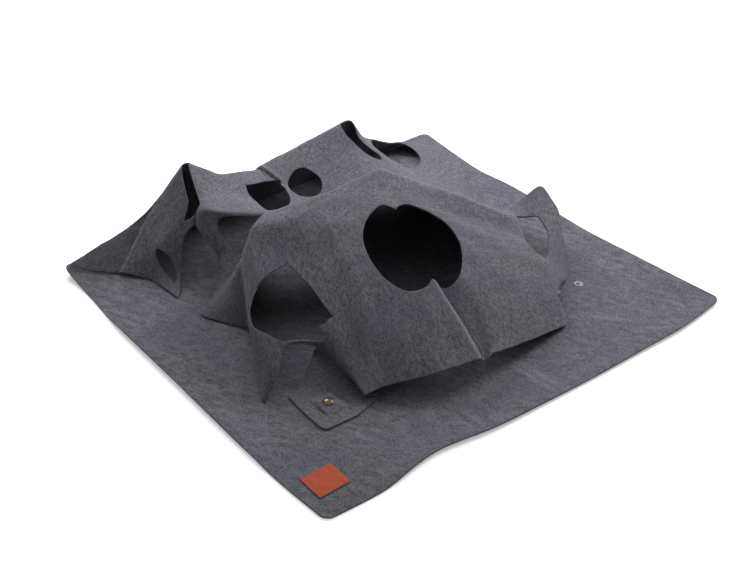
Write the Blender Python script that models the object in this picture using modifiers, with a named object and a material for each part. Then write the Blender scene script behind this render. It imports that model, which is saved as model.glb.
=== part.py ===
# Felt cat play mat: a flat felt mat with a folded, pierced felt sheet that snaps onto it
import bpy
import bmesh
import numpy as np
from math import cos, pi, radians, sin
from mathutils import Matrix, Vector

# Sizes of the flat mat, in metres, with X along its front edge and Y from front to back
MAT_LENGTH = 1.000
MAT_DEPTH = 0.900
FELT = 0.0035
MAT_CORNER = 0.018
MAT_BOW = 0.034
CURL_RISE = 0.019
CURL_REACH = 0.120
LAYER_GAP = 0.0003

# How far each edge of the mat bows outwards, from one end to the other, in shares of the bow
FRONT_BOW_SHARES = (0.35, 0.50, 0.09, 0.59, 0.78, 0.91, 0.97, 1.00, 0.59)
BACK_BOW_SHARES = (0.35, 0.24, 0.15, 0.15, 0.15, 0.15, 0.15, 0.09, 0.06)
LEFT_BOW_SHARES = (0.24, 0.44, 0.47, 0.43, 0.38, 0.35, 0.29, 0.03, 0.00)
RIGHT_BOW_SHARES = (-0.29, -0.56, -0.74, -0.91, -0.82, -0.74, -0.91, -0.65, -0.24)
MAT_LINE_SHARES = (0.000, 0.030, 0.060, 0.095, 0.140, 0.250, 0.375, 0.500, 0.625, 0.750, 0.875, 1.000)

# Sizes of the upper sheet as it is cut, flat
SHEET_LENGTH = 0.925
SHEET_DEPTH = 1.020
SHEET_CORNER = 0.014
CORNER_STEPS = 3
HUMP_HEIGHT = 0.220
BEND_RADIUS = 0.017
CELL_LIMIT = 0.078

# Where the fold lines cross the flat sheet, across it and from front to back
COLUMN_SHARES = (0.000, 0.098, 0.211, 0.283, 0.384, 0.519, 0.636, 0.712, 0.804, 0.894, 1.000)
ROW_SHARES = (0.0000, 0.0628, 0.1369, 0.2026, 0.2920, 0.3661, 0.4298, 0.5944, 0.6990, 0.8026, 0.8873, 1.0000)

# Where each crossing lies once the sheet is pushed up: shares of the mat's length and depth from
# the mat's centre, and of the hump's height above the sheet that lies flat. One row for each row
# line, front to back, and in it one place for each column line, left to right.
FOLD_SHARES = (
    ((-0.379, -0.318, 0.00), (-0.305, -0.322, 0.00), (-0.236, -0.302, 0.00), (-0.277, -0.298, 0.08),
     (-0.234, -0.310, 0.11), (-0.148, -0.369, 0.21), (-0.061, -0.392, 0.23), (-0.016, -0.390, 0.19),
     (0.073, -0.387, 0.12), (0.186, -0.374, 0.01), (0.212, -0.287, 0.00)),
    ((-0.378, -0.239, 0.00), (-0.318, -0.250, 0.00), (-0.250, -0.239, 0.00), (-0.271, -0.246, 0.15),
     (-0.209, -0.227, 0.34), (-0.114, -0.275, 0.42), (-0.035, -0.312, 0.42), (0.014, -0.323, 0.36),
     (0.099, -0.331, 0.26), (0.203, -0.329, 0.13), (0.250, -0.261, 0.00)),
    ((-0.374, -0.188, 0.00), (-0.335, -0.176, 0.02), (-0.270, -0.144, 0.14), (-0.270, -0.189, 0.30),
     (-0.182, -0.141, 0.56), (-0.078, -0.177, 0.62), (-0.008, -0.228, 0.60), (0.045, -0.253, 0.52),
     (0.126, -0.273, 0.39), (0.221, -0.282, 0.24), (0.300, -0.247, 0.00)),
    ((-0.419, -0.169, 0.00), (-0.385, -0.156, 0.21), (-0.344, -0.129, 0.37), (-0.272, -0.135, 0.44),
     (-0.159, -0.065, 0.73), (-0.048, -0.091, 0.78), (0.016, -0.155, 0.73), (0.072, -0.192, 0.63),
     (0.150, -0.223, 0.48), (0.236, -0.241, 0.31), (0.335, -0.206, 0.03)),
    ((-0.375, -0.078, 0.00), (-0.361, -0.031, 0.39), (-0.308, 0.000, 0.55), (-0.235, 0.017, 0.66),
     (-0.136, 0.010, 0.86), (-0.017, -0.006, 0.89), (0.039, -0.083, 0.82), (0.099, -0.131, 0.70),
     (0.173, -0.172, 0.53), (0.252, -0.200, 0.34), (0.380, -0.124, 0.37)),
    ((-0.335, 0.000, 0.00), (-0.290, 0.101, 0.66), (-0.247, 0.134, 0.80), (-0.204, 0.092, 0.87),
     (-0.118, 0.067, 0.91), (0.006, 0.058, 0.93), (0.057, -0.028, 0.85), (0.119, -0.085, 0.71),
     (0.191, -0.134, 0.53), (0.263, -0.170, 0.32), (0.383, -0.056, 0.55)),
    ((-0.311, 0.052, 0.00), (-0.275, 0.133, 0.48), (-0.203, 0.163, 0.80), (-0.157, 0.135, 0.87),
     (-0.085, 0.106, 0.93), (0.058, 0.108, 0.97), (0.110, 0.017, 0.87), (0.172, -0.046, 0.75),
     (0.233, -0.107, 0.57), (0.286, -0.085, 0.41), (0.360, 0.022, 0.12)),
    ((-0.359, 0.152, 0.00), (-0.300, 0.178, 0.12), (-0.215, 0.211, 0.25), (-0.120, 0.211, 0.23),
     (-0.020, 0.222, 0.21), (0.090, 0.233, 0.21), (0.190, 0.222, 0.21), (0.250, 0.178, 0.19),
     (0.300, 0.111, 0.14), (0.330, 0.078, 0.07), (0.355, 0.083, 0.01)),
    ((-0.365, 0.246, 0.00), (-0.312, 0.272, 0.01), (-0.258, 0.326, 0.62), (-0.212, 0.273, 0.61),
     (-0.154, 0.234, 0.57), (0.030, 0.300, 0.32), (0.140, 0.300, 0.37), (0.230, 0.278, 0.25),
     (0.300, 0.244, 0.12), (0.345, 0.200, 0.04), (0.365, 0.158, 0.00)),
    ((-0.372, 0.354, 0.00), (-0.345, 0.376, 0.23), (-0.241, 0.372, 0.66), (-0.189, 0.374, 0.57),
     (-0.105, 0.357, 0.47), (0.026, 0.375, 0.41), (0.185, 0.378, 0.49), (0.250, 0.367, 0.32),
     (0.320, 0.367, 0.08), (0.385, 0.356, 0.03), (0.460, 0.324, 0.00)),
    ((-0.412, 0.422, 0.00), (-0.308, 0.476, 0.36), (-0.218, 0.456, 0.88), (-0.135, 0.456, 0.57),
     (-0.036, 0.456, 0.50), (0.080, 0.456, 0.58), (0.223, 0.456, 0.67), (0.254, 0.456, 0.39),
     (0.327, 0.456, 0.21), (0.409, 0.456, 0.07), (0.468, 0.373, 0.00)),
    ((-0.498, 0.497, 0.02), (-0.410, 0.494, 0.19), (-0.205, 0.494, -0.0073), (-0.117, 0.493, -0.0071),
     (-0.017, 0.493, -0.0070), (0.100, 0.493, -0.0070), (0.245, 0.493, -0.0071), (0.290, 0.493, -0.005),
     (0.352, 0.492, -0.003), (0.420, 0.489, 0.00), (0.462, 0.414, 0.00)),
)

# Oval holes: centre across and from the front, half width and half depth, in shares of the
# sheet's length and depth
OVAL_SHARES = {
    "front_window_left": (0.526, 0.2054, 0.084, 0.0922),
    "front_window_right": (0.613, 0.2273, 0.075, 0.1065),
    "valley_hole": (0.292, 0.6305, 0.095, 0.0609),
    "back_round": (0.510, 0.7665, 0.038, 0.0590),
    "back_right": (0.805, 0.8416, 0.081, 0.0542),
    "side_arch": (0.906, 0.3281, 0.037, 0.1027),
}
OVAL_SIDES = 14
WINDOW_SIDES = 22

# The other holes as outlines, in the same shares; the two arches are open to the sheet's left edge
OUTLINE_SHARES = {
    "half_moon": (
        (0.2789, 0.2922), (0.3027, 0.2353), (0.3146, 0.1676), (0.2811, 0.1892), (0.2800, 0.1588),
        (0.2573, 0.1618), (0.2249, 0.1882), (0.1946, 0.2108), (0.1276, 0.2598), (0.1059, 0.2824),
        (0.1168, 0.2990), (0.1676, 0.3029), (0.2292, 0.3000)),
    "leaf": (
        (0.3568, 0.8294), (0.3914, 0.8353), (0.4270, 0.8304), (0.4573, 0.8176), (0.4627, 0.7794),
        (0.4519, 0.7206), (0.4270, 0.7010), (0.3946, 0.7108), (0.3784, 0.7598)),
    "left_slit": (
        (0.2022, 0.8843), (0.1968, 0.8676), (0.1935, 0.8333), (0.1903, 0.8059), (0.1686, 0.7814),
        (0.1859, 0.7520), (0.2054, 0.7373), (0.2162, 0.7500), (0.2162, 0.8255), (0.2162, 0.8706),
        (0.2195, 0.8843)),
    "left_pipe": (
        (0.0411, 0.7373), (0.0541, 0.7725), (0.0778, 0.7990), (0.0973, 0.8039), (0.1049, 0.7843),
        (0.0995, 0.7598), (0.0714, 0.7382)),
    "right_slit": (
        (0.6119, 0.8824), (0.6141, 0.8676), (0.6292, 0.8284), (0.6616, 0.7922), (0.6919, 0.7745),
        (0.7070, 0.7843), (0.7005, 0.8059), (0.6616, 0.8333), (0.6584, 0.8676), (0.6573, 0.8824)),
    "left_arch": (
        (-0.0108, 0.7078), (0.0130, 0.7078), (0.0627, 0.7275), (0.1081, 0.7402), (0.1405, 0.7529),
        (0.1622, 0.7500), (0.1762, 0.7333), (0.1730, 0.6765), (0.1568, 0.6520), (0.1243, 0.6353),
        (0.0649, 0.6157), (-0.0108, 0.6098)),
    "front_arch": (
        (-0.0108, 0.1353), (0.0649, 0.1353), (0.1351, 0.1402), (0.1838, 0.1441), (0.2216, 0.1490),
        (0.2400, 0.1569), (0.2249, 0.1725), (0.2022, 0.1941), (0.1859, 0.2020), (0.1168, 0.1941),
        (0.0541, 0.1922), (-0.0108, 0.1961)),
}

# The front left tab that the left snap holds down
TAB_LENGTH = 0.112
TAB_DEPTH = 0.105
TAB_SEAM = 0.0010

# Snap fasteners: a domed cap and its socket grip a stud that a washer post holds on the mat
SNAP_PLACE_SHARES = (0.0775, 0.0542)
LOOSE_SNAP_PLACE_SHARES = (0.932, 0.059)
LOOSE_STUD_SHARES = (0.3083, -0.2749)
SNAP_FLAT = 0.013
SNAP_EASE = 0.036
SNAP_REACH = 0.080
CAP_RADIUS = 0.0110
CAP_HEIGHT = 0.0050
CAP_RIM = 0.0010
STEM_RADIUS = 0.0019
SOCKET_RADIUS = 0.0080
SOCKET_HEIGHT = 0.0032
SOCKET_PLATE = 0.0010
SOCKET_CAVITY = 0.0042
SOCKET_EDGE = 0.0005
FLANGE_RADIUS = 0.0100
FLANGE_HEIGHT = 0.0010
KNOB_RADIUS = 0.0035
KNOB_WAIST = 0.0030
KNOB_HEIGHT = 0.0020
KNOB_EDGE = 0.0003
POST_RADIUS = 0.0015
WASHER_RADIUS = 0.0080
WASHER_HEIGHT = 0.0008
TURN_STEPS = 24
DOME_STEPS = 5

# The leather label near the mat's front left corner
LABEL_LENGTH = 0.066
LABEL_DEPTH = 0.058
LABEL_THICKNESS = 0.0016
LABEL_CORNER = 0.003
LABEL_EDGE = 0.0003
LABEL_PLACE_SHARES = (-0.453, -0.430)

OVERRUN = 0.004

# Heights that follow from the pieces that lie on each other
REST_LEVEL = FELT + LAYER_GAP + FELT / 2
STUD_BASE = FELT + LAYER_GAP
SOCKET_BASE = STUD_BASE + FLANGE_HEIGHT + LAYER_GAP
SNAP_LEVEL = SOCKET_BASE + SOCKET_HEIGHT + LAYER_GAP + FELT / 2
STEM_HOLE = STEM_RADIUS + LAYER_GAP
POST_HOLE = POST_RADIUS + LAYER_GAP
RECESS_RADIUS = WASHER_RADIUS + LAYER_GAP
RECESS_DEPTH = LAYER_GAP + WASHER_HEIGHT + LAYER_GAP


def clear_scene():
    for item in list(bpy.data.objects):
        bpy.data.objects.remove(item, do_unlink=True)
    for group in list(bpy.data.collections):
        bpy.data.collections.remove(group)


def add_collection(name):
    group = bpy.data.collections.new(name)
    bpy.context.scene.collection.children.link(group)
    return group


def material(name, colour, roughness, metallic=0.0):
    mat = bpy.data.materials.new(name)
    mat.use_nodes = True
    mat.diffuse_color = (*colour, 1.0)
    shader = mat.node_tree.nodes["Principled BSDF"]
    shader.inputs["Base Color"].default_value = (*colour, 1.0)
    shader.inputs["Roughness"].default_value = roughness
    shader.inputs["Metallic"].default_value = metallic
    return mat


def add_object(name, mesh, group, mat=None):
    obj = bpy.data.objects.new(name, mesh)
    group.objects.link(obj)
    if mat:
        mesh.materials.clear()
        mesh.materials.append(mat)
    return obj


def mesh_from(bm, name):
    mesh = bpy.data.meshes.new(name)
    bm.to_mesh(mesh)
    bm.free()
    return mesh


def baked(obj):
    """The object's mesh with its modifiers applied, in the object's own axes."""
    bpy.context.view_layer.update()
    graph = bpy.context.evaluated_depsgraph_get()
    mesh = bpy.data.meshes.new_from_object(obj.evaluated_get(graph))
    obj.modifiers.clear()
    obj.data = mesh
    return mesh


def cut(obj, cutter, operation="DIFFERENCE"):
    step = obj.modifiers.new(cutter.name, "BOOLEAN")
    step.operation = operation
    step.object = cutter
    step.solver = "EXACT"


def hide_cutter(obj):
    obj.hide_render = True
    obj.display_type = "WIRE"


def round_cutter(name, radius, low, high, frame=None, steps=TURN_STEPS):
    """A cylinder along the frame's Z axis from low to high."""
    bm = bmesh.new()
    bmesh.ops.create_cone(bm, cap_ends=True, segments=steps, radius1=radius, radius2=radius,
                          depth=high - low)
    bmesh.ops.translate(bm, verts=bm.verts, vec=(0, 0, (low + high) / 2))
    obj = add_object(name, mesh_from(bm, name), cutters)
    obj.matrix_world = frame or Matrix()
    hide_cutter(obj)
    return obj


def outline_cutter(name, points, height):
    """A flat outline raised to both sides of the ground plane."""
    curve = bpy.data.curves.new(name, "CURVE")
    curve.dimensions = "2D"
    curve.fill_mode = "BOTH"
    curve.extrude = height / 2
    line = curve.splines.new("POLY")
    line.points.add(len(points) - 1)
    for point, (x, y) in zip(line.points, points):
        point.co = (x, y, 0, 1)
    line.use_cyclic_u = True
    source = add_object(name + "_outline", curve, cutters)
    bpy.context.view_layer.update()
    mesh = bpy.data.meshes.new_from_object(source.evaluated_get(bpy.context.evaluated_depsgraph_get()))
    bpy.data.objects.remove(source)
    bm = bmesh.new()
    bm.from_mesh(mesh)
    bmesh.ops.remove_doubles(bm, verts=bm.verts, dist=LAYER_GAP / 3)
    bmesh.ops.recalc_face_normals(bm, faces=bm.faces)
    obj = add_object(name, mesh_from(bm, name), cutters)
    hide_cutter(obj)
    return obj


def box_cutter(name, low, high):
    bm = bmesh.new()
    bmesh.ops.create_cube(bm, size=1.0)
    size = [top - bottom for bottom, top in zip(low, high)]
    centre = [(top + bottom) / 2 for bottom, top in zip(low, high)]
    bmesh.ops.scale(bm, verts=bm.verts, vec=size)
    bmesh.ops.translate(bm, verts=bm.verts, vec=centre)
    obj = add_object(name, mesh_from(bm, name), cutters)
    hide_cutter(obj)
    return obj


def turned(name, profile, group, mat, closed=False):
    """A profile of radius and height pairs, outer side from top to bottom, turned about Z."""
    bm = bmesh.new()
    verts = [bm.verts.new((radius, 0, height)) for radius, height in profile]
    for one, two in zip(verts, verts[1:]):
        bm.edges.new((one, two))
    if closed:
        bm.edges.new((verts[-1], verts[0]))
    obj = add_object(name, mesh_from(bm, name), group, mat)
    spin = obj.modifiers.new("turn", "SCREW")
    spin.steps = TURN_STEPS
    spin.render_steps = TURN_STEPS
    spin.use_merge_vertices = True
    spin.merge_threshold = LAYER_GAP / 10
    spin.use_normal_flip = False
    mesh = baked(obj)
    bm = bmesh.new()
    bm.from_mesh(mesh)
    bmesh.ops.remove_doubles(bm, verts=bm.verts, dist=LAYER_GAP / 10)
    bmesh.ops.recalc_face_normals(bm, faces=bm.faces)
    bm.to_mesh(mesh)
    bm.free()
    mesh.shade_smooth()
    mesh.set_sharp_from_angle(angle=radians(35))
    return obj


# The mat's edge lines and the curl of its back left corner
def bow(shares, place):
    stops = np.linspace(0.0, 1.0, len(shares))
    return MAT_BOW * np.interp(place, stops, shares)


def mat_point(across, along):
    left = -MAT_LENGTH / 2 - bow(LEFT_BOW_SHARES, along)
    right = MAT_LENGTH / 2 + bow(RIGHT_BOW_SHARES, along)
    front = -MAT_DEPTH / 2 - bow(FRONT_BOW_SHARES, across)
    back = MAT_DEPTH / 2 + bow(BACK_BOW_SHARES, across)
    return left + (right - left) * across, front + (back - front) * along


def curl(x, y):
    corner_x, corner_y = mat_point(0.0, 1.0)
    away = np.hypot(x - corner_x, y - corner_y)
    return CURL_RISE * np.clip(1.0 - away / CURL_REACH, 0.0, 1.0) ** 2


# The folded sheet: the flat sheet's places carried to the pushed-up shape
fold_table = np.array(FOLD_SHARES) * np.array([MAT_LENGTH, MAT_DEPTH, HUMP_HEIGHT])
fold_table[:, :, 2] += REST_LEVEL
column_lines = np.array(COLUMN_SHARES) * SHEET_LENGTH
row_lines = np.array(ROW_SHARES) * SHEET_DEPTH


def creased(u, v):
    """The sheet with sharp creases: straight between neighbouring fold lines."""
    column = np.interp(u, column_lines, np.arange(len(column_lines)))
    row = np.interp(v, row_lines, np.arange(len(row_lines)))
    i = np.clip(column.astype(int), 0, len(column_lines) - 2)
    j = np.clip(row.astype(int), 0, len(row_lines) - 2)
    s = (column - i)[:, None]
    t = (row - j)[:, None]
    near = fold_table[j, i] * (1 - s) + fold_table[j, i + 1] * s
    far = fold_table[j + 1, i] * (1 - s) + fold_table[j + 1, i + 1] * s
    return near * (1 - t) + far * t


def bent(u, v):
    """The creases rounded to the felt's bend: the mean over a small square of felt."""
    reach_u = np.minimum(BEND_RADIUS, np.minimum(u, SHEET_LENGTH - u).clip(0))
    reach_v = np.minimum(BEND_RADIUS, np.minimum(v, SHEET_DEPTH - v).clip(0))
    steps = np.linspace(-1.0, 1.0, 7)
    total = np.zeros((len(u), 3))
    for a in steps:
        for b in steps:
            total += creased(u + a * reach_u, v + b * reach_v)
    return total / len(steps) ** 2


def local_frame(u, v, upright):
    """Centre, two directions along the felt and its normal at one flat place."""
    step = BEND_RADIUS / 2
    spots = bent(np.array([u, u - step, u + step, u, u]), np.array([v, v, v, v - step, v + step]))
    centre = Vector(spots[0])
    along = Vector(spots[2] - spots[1]).normalized()
    across = Vector(spots[4] - spots[3])
    normal = along.cross(across).normalized()
    if upright:
        normal = Vector((0, 0, 1))
        centre.z = SNAP_LEVEL
        along = (along - normal * along.dot(normal)).normalized()
    return centre, along, normal.cross(along), normal


snap_u, snap_v = SNAP_PLACE_SHARES[0] * SHEET_LENGTH, SNAP_PLACE_SHARES[1] * SHEET_DEPTH
loose_u, loose_v = LOOSE_SNAP_PLACE_SHARES[0] * SHEET_LENGTH, LOOSE_SNAP_PLACE_SHARES[1] * SHEET_DEPTH
snap_frames = [
    (snap_u, snap_v, local_frame(snap_u, snap_v, True)),
    (loose_u, loose_v, local_frame(loose_u, loose_v, False)),
]


def draped(u, v):
    """The pushed-up sheet's middle surface, flat around each snap and on the curled corner."""
    place = bent(u, v)
    for centre_u, centre_v, (centre, along, across, normal) in snap_frames:
        away = np.maximum(abs(u - centre_u), abs(v - centre_v))
        share = np.clip((SNAP_EASE - away) / (SNAP_EASE - SNAP_FLAT), 0.0, 1.0)
        share = (share * share * (3 - 2 * share))[:, None]
        plane = (np.array(centre) + np.outer(u - centre_u, np.array(along))
                 + np.outer(v - centre_v, np.array(across)))
        place = place * (1 - share) + plane * share
    place[:, 2] += curl(place[:, 0], place[:, 1])
    return place


def felt_normal(u, v):
    step = BEND_RADIUS / 4
    along = draped(np.minimum(u + step, SHEET_LENGTH), v) - draped(np.maximum(u - step, 0), v)
    across = draped(u, np.minimum(v + step, SHEET_DEPTH)) - draped(u, np.maximum(v - step, 0))
    normal = np.cross(along, across)
    return normal / np.linalg.norm(normal, axis=1)[:, None]


def drape_mesh(mesh):
    """Carries a flat piece of felt, centred on the ground plane, to its folded place."""
    flat = np.array([vert.co for vert in mesh.vertices], dtype=float)
    u = np.clip(flat[:, 0], 0, SHEET_LENGTH)
    v = np.clip(flat[:, 1], 0, SHEET_DEPTH)
    place = draped(u, v) + felt_normal(u, v) * flat[:, 2:3]
    for vert, spot in zip(mesh.vertices, place):
        vert.co = spot
    mesh.update()


def line_places(lines):
    """The fold lines, with one more line halfway across each wide cell."""
    places = []
    for one, two in zip(lines, lines[1:]):
        places.append(one)
        if two - one > CELL_LIMIT:
            places.append((one + two) / 2)
    return places + [lines[-1]]


def grid_mesh(name, xs, ys, corner):
    """A flat grid through the given lines, with its four corners rounded."""
    bm = bmesh.new()
    bmesh.ops.create_grid(bm, x_segments=len(xs) - 1, y_segments=len(ys) - 1, size=0.5)
    for vert in bm.verts:
        column = round((vert.co.x + 0.5) * (len(xs) - 1))
        row = round((vert.co.y + 0.5) * (len(ys) - 1))
        vert.co = (xs[column], ys[row], 0)
    tips = [vert for vert in bm.verts if len(vert.link_faces) == 1]
    bmesh.ops.bevel(bm, geom=tips, offset=corner, segments=CORNER_STEPS, profile=0.5,
                    affect="VERTICES")
    return bm


def frame_snaps(bm):
    """Cuts a small square round each snap's place, so the felt can lie flat there."""
    for centre_u, centre_v, frame in snap_frames:
        for axis, middle in ((0, centre_u), (1, centre_v)):
            for edge in (middle - SNAP_FLAT, middle + SNAP_FLAT):
                near = [face for face in bm.faces
                        if max(abs(vert.co.x - centre_u) for vert in face.verts) < SNAP_REACH
                        and max(abs(vert.co.y - centre_v) for vert in face.verts) < SNAP_REACH]
                region = set(near)
                for face in near:
                    region.update(face.verts)
                    region.update(face.edges)
                spot = (edge, 0, 0) if axis == 0 else (0, edge, 0)
                direction = (1, 0, 0) if axis == 0 else (0, 1, 0)
                bmesh.ops.bisect_plane(bm, geom=list(region), dist=LAYER_GAP / 10,
                                       plane_co=spot, plane_no=direction)


def triangulated(mesh):
    bm = bmesh.new()
    bm.from_mesh(mesh)
    bmesh.ops.triangulate(bm, faces=bm.faces, quad_method="BEAUTY", ngon_method="BEAUTY")
    bm.to_mesh(mesh)
    bm.free()


clear_scene()
parts = add_collection("cat_play_mat")
cutters = add_collection("cutters")

dark_felt = material("base_felt", (0.085, 0.085, 0.100), 0.95)
grey_felt = material("sheet_felt", (0.105, 0.105, 0.118), 0.95)
tab_felt = material("tab_felt", (0.100, 0.100, 0.112), 0.95)
leather = material("label_leather", (0.400, 0.105, 0.035), 0.55)
brass = {}
for part_name in ("left_cap", "left_socket", "right_cap", "right_socket"):
    brass[part_name] = material(part_name + "_metal", (0.300, 0.240, 0.160), 0.35, 1.0)
for part_name in ("left_stud", "left_post", "right_stud", "right_post"):
    brass[part_name] = material(part_name + "_metal", (0.620, 0.620, 0.630), 0.28, 1.0)

# The flat mat: a grid drawn out to the bowed edges, thickened downwards, curled at one corner
mat_xs = list(MAT_LINE_SHARES)
mat_ys = [1.0 - share for share in reversed(MAT_LINE_SHARES)]
bm = grid_mesh("base_mat", mat_xs, mat_ys, MAT_CORNER / MAT_DEPTH)
for vert in bm.verts:
    x, y = mat_point(vert.co.x, vert.co.y)
    vert.co = (x, y, FELT + curl(x, y))
base_mat = add_object("base_mat", mesh_from(bm, "base_mat"), parts, dark_felt)
shell = base_mat.modifiers.new("felt", "SOLIDIFY")
shell.thickness = FELT
shell.offset = -1.0
baked(base_mat)

# The upper sheet and its tab: one blank, cut flat, then folded
sheet_xs = line_places(list(column_lines))
sheet_ys = line_places(list(row_lines))
bm = grid_mesh("upper_sheet", sheet_xs, sheet_ys, SHEET_CORNER)
frame_snaps(bm)
upper_sheet = add_object("upper_sheet", mesh_from(bm, "upper_sheet"), parts, grey_felt)
shell = upper_sheet.modifiers.new("felt", "SOLIDIFY")
shell.thickness = FELT
shell.offset = 0.0
baked(upper_sheet)

for hole, (place_x, place_y, half_x, half_y) in OVAL_SHARES.items():
    sides = WINDOW_SIDES if hole.startswith("front_window") else OVAL_SIDES
    oval = round_cutter(hole + "_cut", 1.0, -OVERRUN, OVERRUN, steps=sides)
    spot = Matrix.Translation((place_x * SHEET_LENGTH, place_y * SHEET_DEPTH, 0))
    size = Matrix.Diagonal((half_x * SHEET_LENGTH, half_y * SHEET_DEPTH, 1, 1))
    oval.data.transform(spot @ size)
    cut(upper_sheet, oval)
    baked(upper_sheet)

for hole, outline in OUTLINE_SHARES.items():
    points = [(x * SHEET_LENGTH, y * SHEET_DEPTH) for x, y in outline]
    cut(upper_sheet, outline_cutter(hole + "_cut", points, OVERRUN * 2))
    baked(upper_sheet)

front_tab = add_object("front_tab", upper_sheet.data.copy(), parts, tab_felt)
tab_low = (-OVERRUN, -OVERRUN, -OVERRUN)
half_seam = TAB_SEAM / 2
inside = box_cutter("tab_inside", tab_low, (TAB_LENGTH - half_seam, TAB_DEPTH - half_seam, OVERRUN))
outside = box_cutter("tab_outside", tab_low, (TAB_LENGTH + half_seam, TAB_DEPTH + half_seam, OVERRUN))
cut(front_tab, inside, "INTERSECT")
cut(upper_sheet, outside)
for piece in (front_tab, upper_sheet):
    triangulated(baked(piece))
    drape_mesh(piece.data)
    piece.data.shade_smooth()
    piece.data.set_sharp_from_angle(angle=radians(50))

# Stem holes in the folded felt, square to it at each snap
stem_frames = []
for centre_u, centre_v, (centre, along, across, normal) in snap_frames:
    axes = Matrix((along, across, normal)).transposed().to_4x4()
    stem_frames.append(Matrix.Translation(centre) @ axes)
left_frame, right_frame = stem_frames
cut(front_tab, round_cutter("left_stem_cut", STEM_HOLE, -OVERRUN, OVERRUN, left_frame))
cut(upper_sheet, round_cutter("right_stem_cut", STEM_HOLE, -OVERRUN, OVERRUN, right_frame))

# The studs' places on the mat, and the recesses for their posts under it
left_stud_place = Matrix.Translation((left_frame.translation.x, left_frame.translation.y, 0))
right_stud_place = Matrix.Translation((LOOSE_STUD_SHARES[0] * MAT_LENGTH,
                                       LOOSE_STUD_SHARES[1] * MAT_DEPTH, 0))
for side, place in (("left", left_stud_place), ("right", right_stud_place)):
    cut(base_mat, round_cutter(side + "_post_cut", POST_HOLE, -OVERRUN, FELT + OVERRUN, place))
    cut(base_mat, round_cutter(side + "_recess_cut", RECESS_RADIUS, -OVERRUN, RECESS_DEPTH, place))

# Caps: a low dome on a stem that passes the felt and ends in the socket's plate
cap_base = FELT / 2 + LAYER_GAP
stem_end = -FELT / 2 - LAYER_GAP - SOCKET_PLATE
dome = []
for k in range(DOME_STEPS + 1):
    turn = k / DOME_STEPS * pi / 2
    dome.append((CAP_RADIUS * sin(turn), cap_base + CAP_RIM + (CAP_HEIGHT - CAP_RIM) * cos(turn)))
cap_profile = dome + [(CAP_RADIUS, cap_base), (STEM_RADIUS, cap_base), (STEM_RADIUS, stem_end),
                      (0.0, stem_end)]

# Sockets: a ring with a plate at the felt and an open cavity for the knob
socket_top = -FELT / 2 - LAYER_GAP
socket_foot = socket_top - SOCKET_HEIGHT
socket_profile = [(STEM_HOLE, socket_top), (SOCKET_RADIUS - SOCKET_EDGE, socket_top),
                  (SOCKET_RADIUS, socket_top - SOCKET_EDGE), (SOCKET_RADIUS, socket_foot + SOCKET_EDGE),
                  (SOCKET_RADIUS - SOCKET_EDGE, socket_foot), (SOCKET_CAVITY, socket_foot),
                  (SOCKET_CAVITY, socket_top - SOCKET_PLATE), (STEM_HOLE, socket_top - SOCKET_PLATE)]

# Studs: a wide flange with a waisted knob, hollow for the post
flange_top = STUD_BASE + FLANGE_HEIGHT
knob_top = flange_top + KNOB_HEIGHT
stud_profile = [(POST_HOLE, knob_top), (KNOB_RADIUS - KNOB_EDGE, knob_top),
                (KNOB_RADIUS, knob_top - KNOB_EDGE), (KNOB_RADIUS, knob_top - KNOB_HEIGHT / 2),
                (KNOB_WAIST, flange_top + KNOB_EDGE), (KNOB_WAIST, flange_top),
                (FLANGE_RADIUS - KNOB_EDGE, flange_top), (FLANGE_RADIUS, flange_top - KNOB_EDGE),
                (FLANGE_RADIUS, STUD_BASE), (POST_HOLE, STUD_BASE)]

# Posts: a washer head in the recess under the mat and a stem up into the stud
washer_top = LAYER_GAP + WASHER_HEIGHT
post_profile = [(0.0, knob_top), (POST_RADIUS, knob_top), (POST_RADIUS, washer_top),
                (WASHER_RADIUS, washer_top), (WASHER_RADIUS, LAYER_GAP), (0.0, LAYER_GAP)]

for side, felt_frame, stud_place in (("left", left_frame, left_stud_place),
                                     ("right", right_frame, right_stud_place)):
    cap = turned(side + "_cap", cap_profile, parts, brass[side + "_cap"])
    cap.matrix_world = felt_frame
    socket = turned(side + "_socket", socket_profile, parts, brass[side + "_socket"], True)
    socket.matrix_world = felt_frame
    stud = turned(side + "_stud", stud_profile, parts, brass[side + "_stud"], True)
    stud.matrix_world = stud_place
    post = turned(side + "_post", post_profile, parts, brass[side + "_post"])
    post.matrix_world = stud_place

# The leather label
bm = bmesh.new()
bmesh.ops.create_cube(bm, size=1.0)
bmesh.ops.scale(bm, verts=bm.verts, vec=(LABEL_LENGTH, LABEL_DEPTH, LABEL_THICKNESS))
corner_edges = [edge for edge in bm.edges
                if abs(edge.verts[0].co.z - edge.verts[1].co.z) > LABEL_THICKNESS / 2]
bmesh.ops.bevel(bm, geom=corner_edges, offset=LABEL_CORNER, segments=CORNER_STEPS, profile=0.5,
                affect="EDGES")
label = add_object("label", mesh_from(bm, "label"), parts, leather)
label.location = (LABEL_PLACE_SHARES[0] * MAT_LENGTH, LABEL_PLACE_SHARES[1] * MAT_DEPTH,
                  FELT + LAYER_GAP + LABEL_THICKNESS / 2)
edge_round = label.modifiers.new("edge", "BEVEL")
edge_round.width = LABEL_EDGE
edge_round.segments = 1
edge_round.limit_method = "ANGLE"
edge_round.angle_limit = radians(60)

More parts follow.
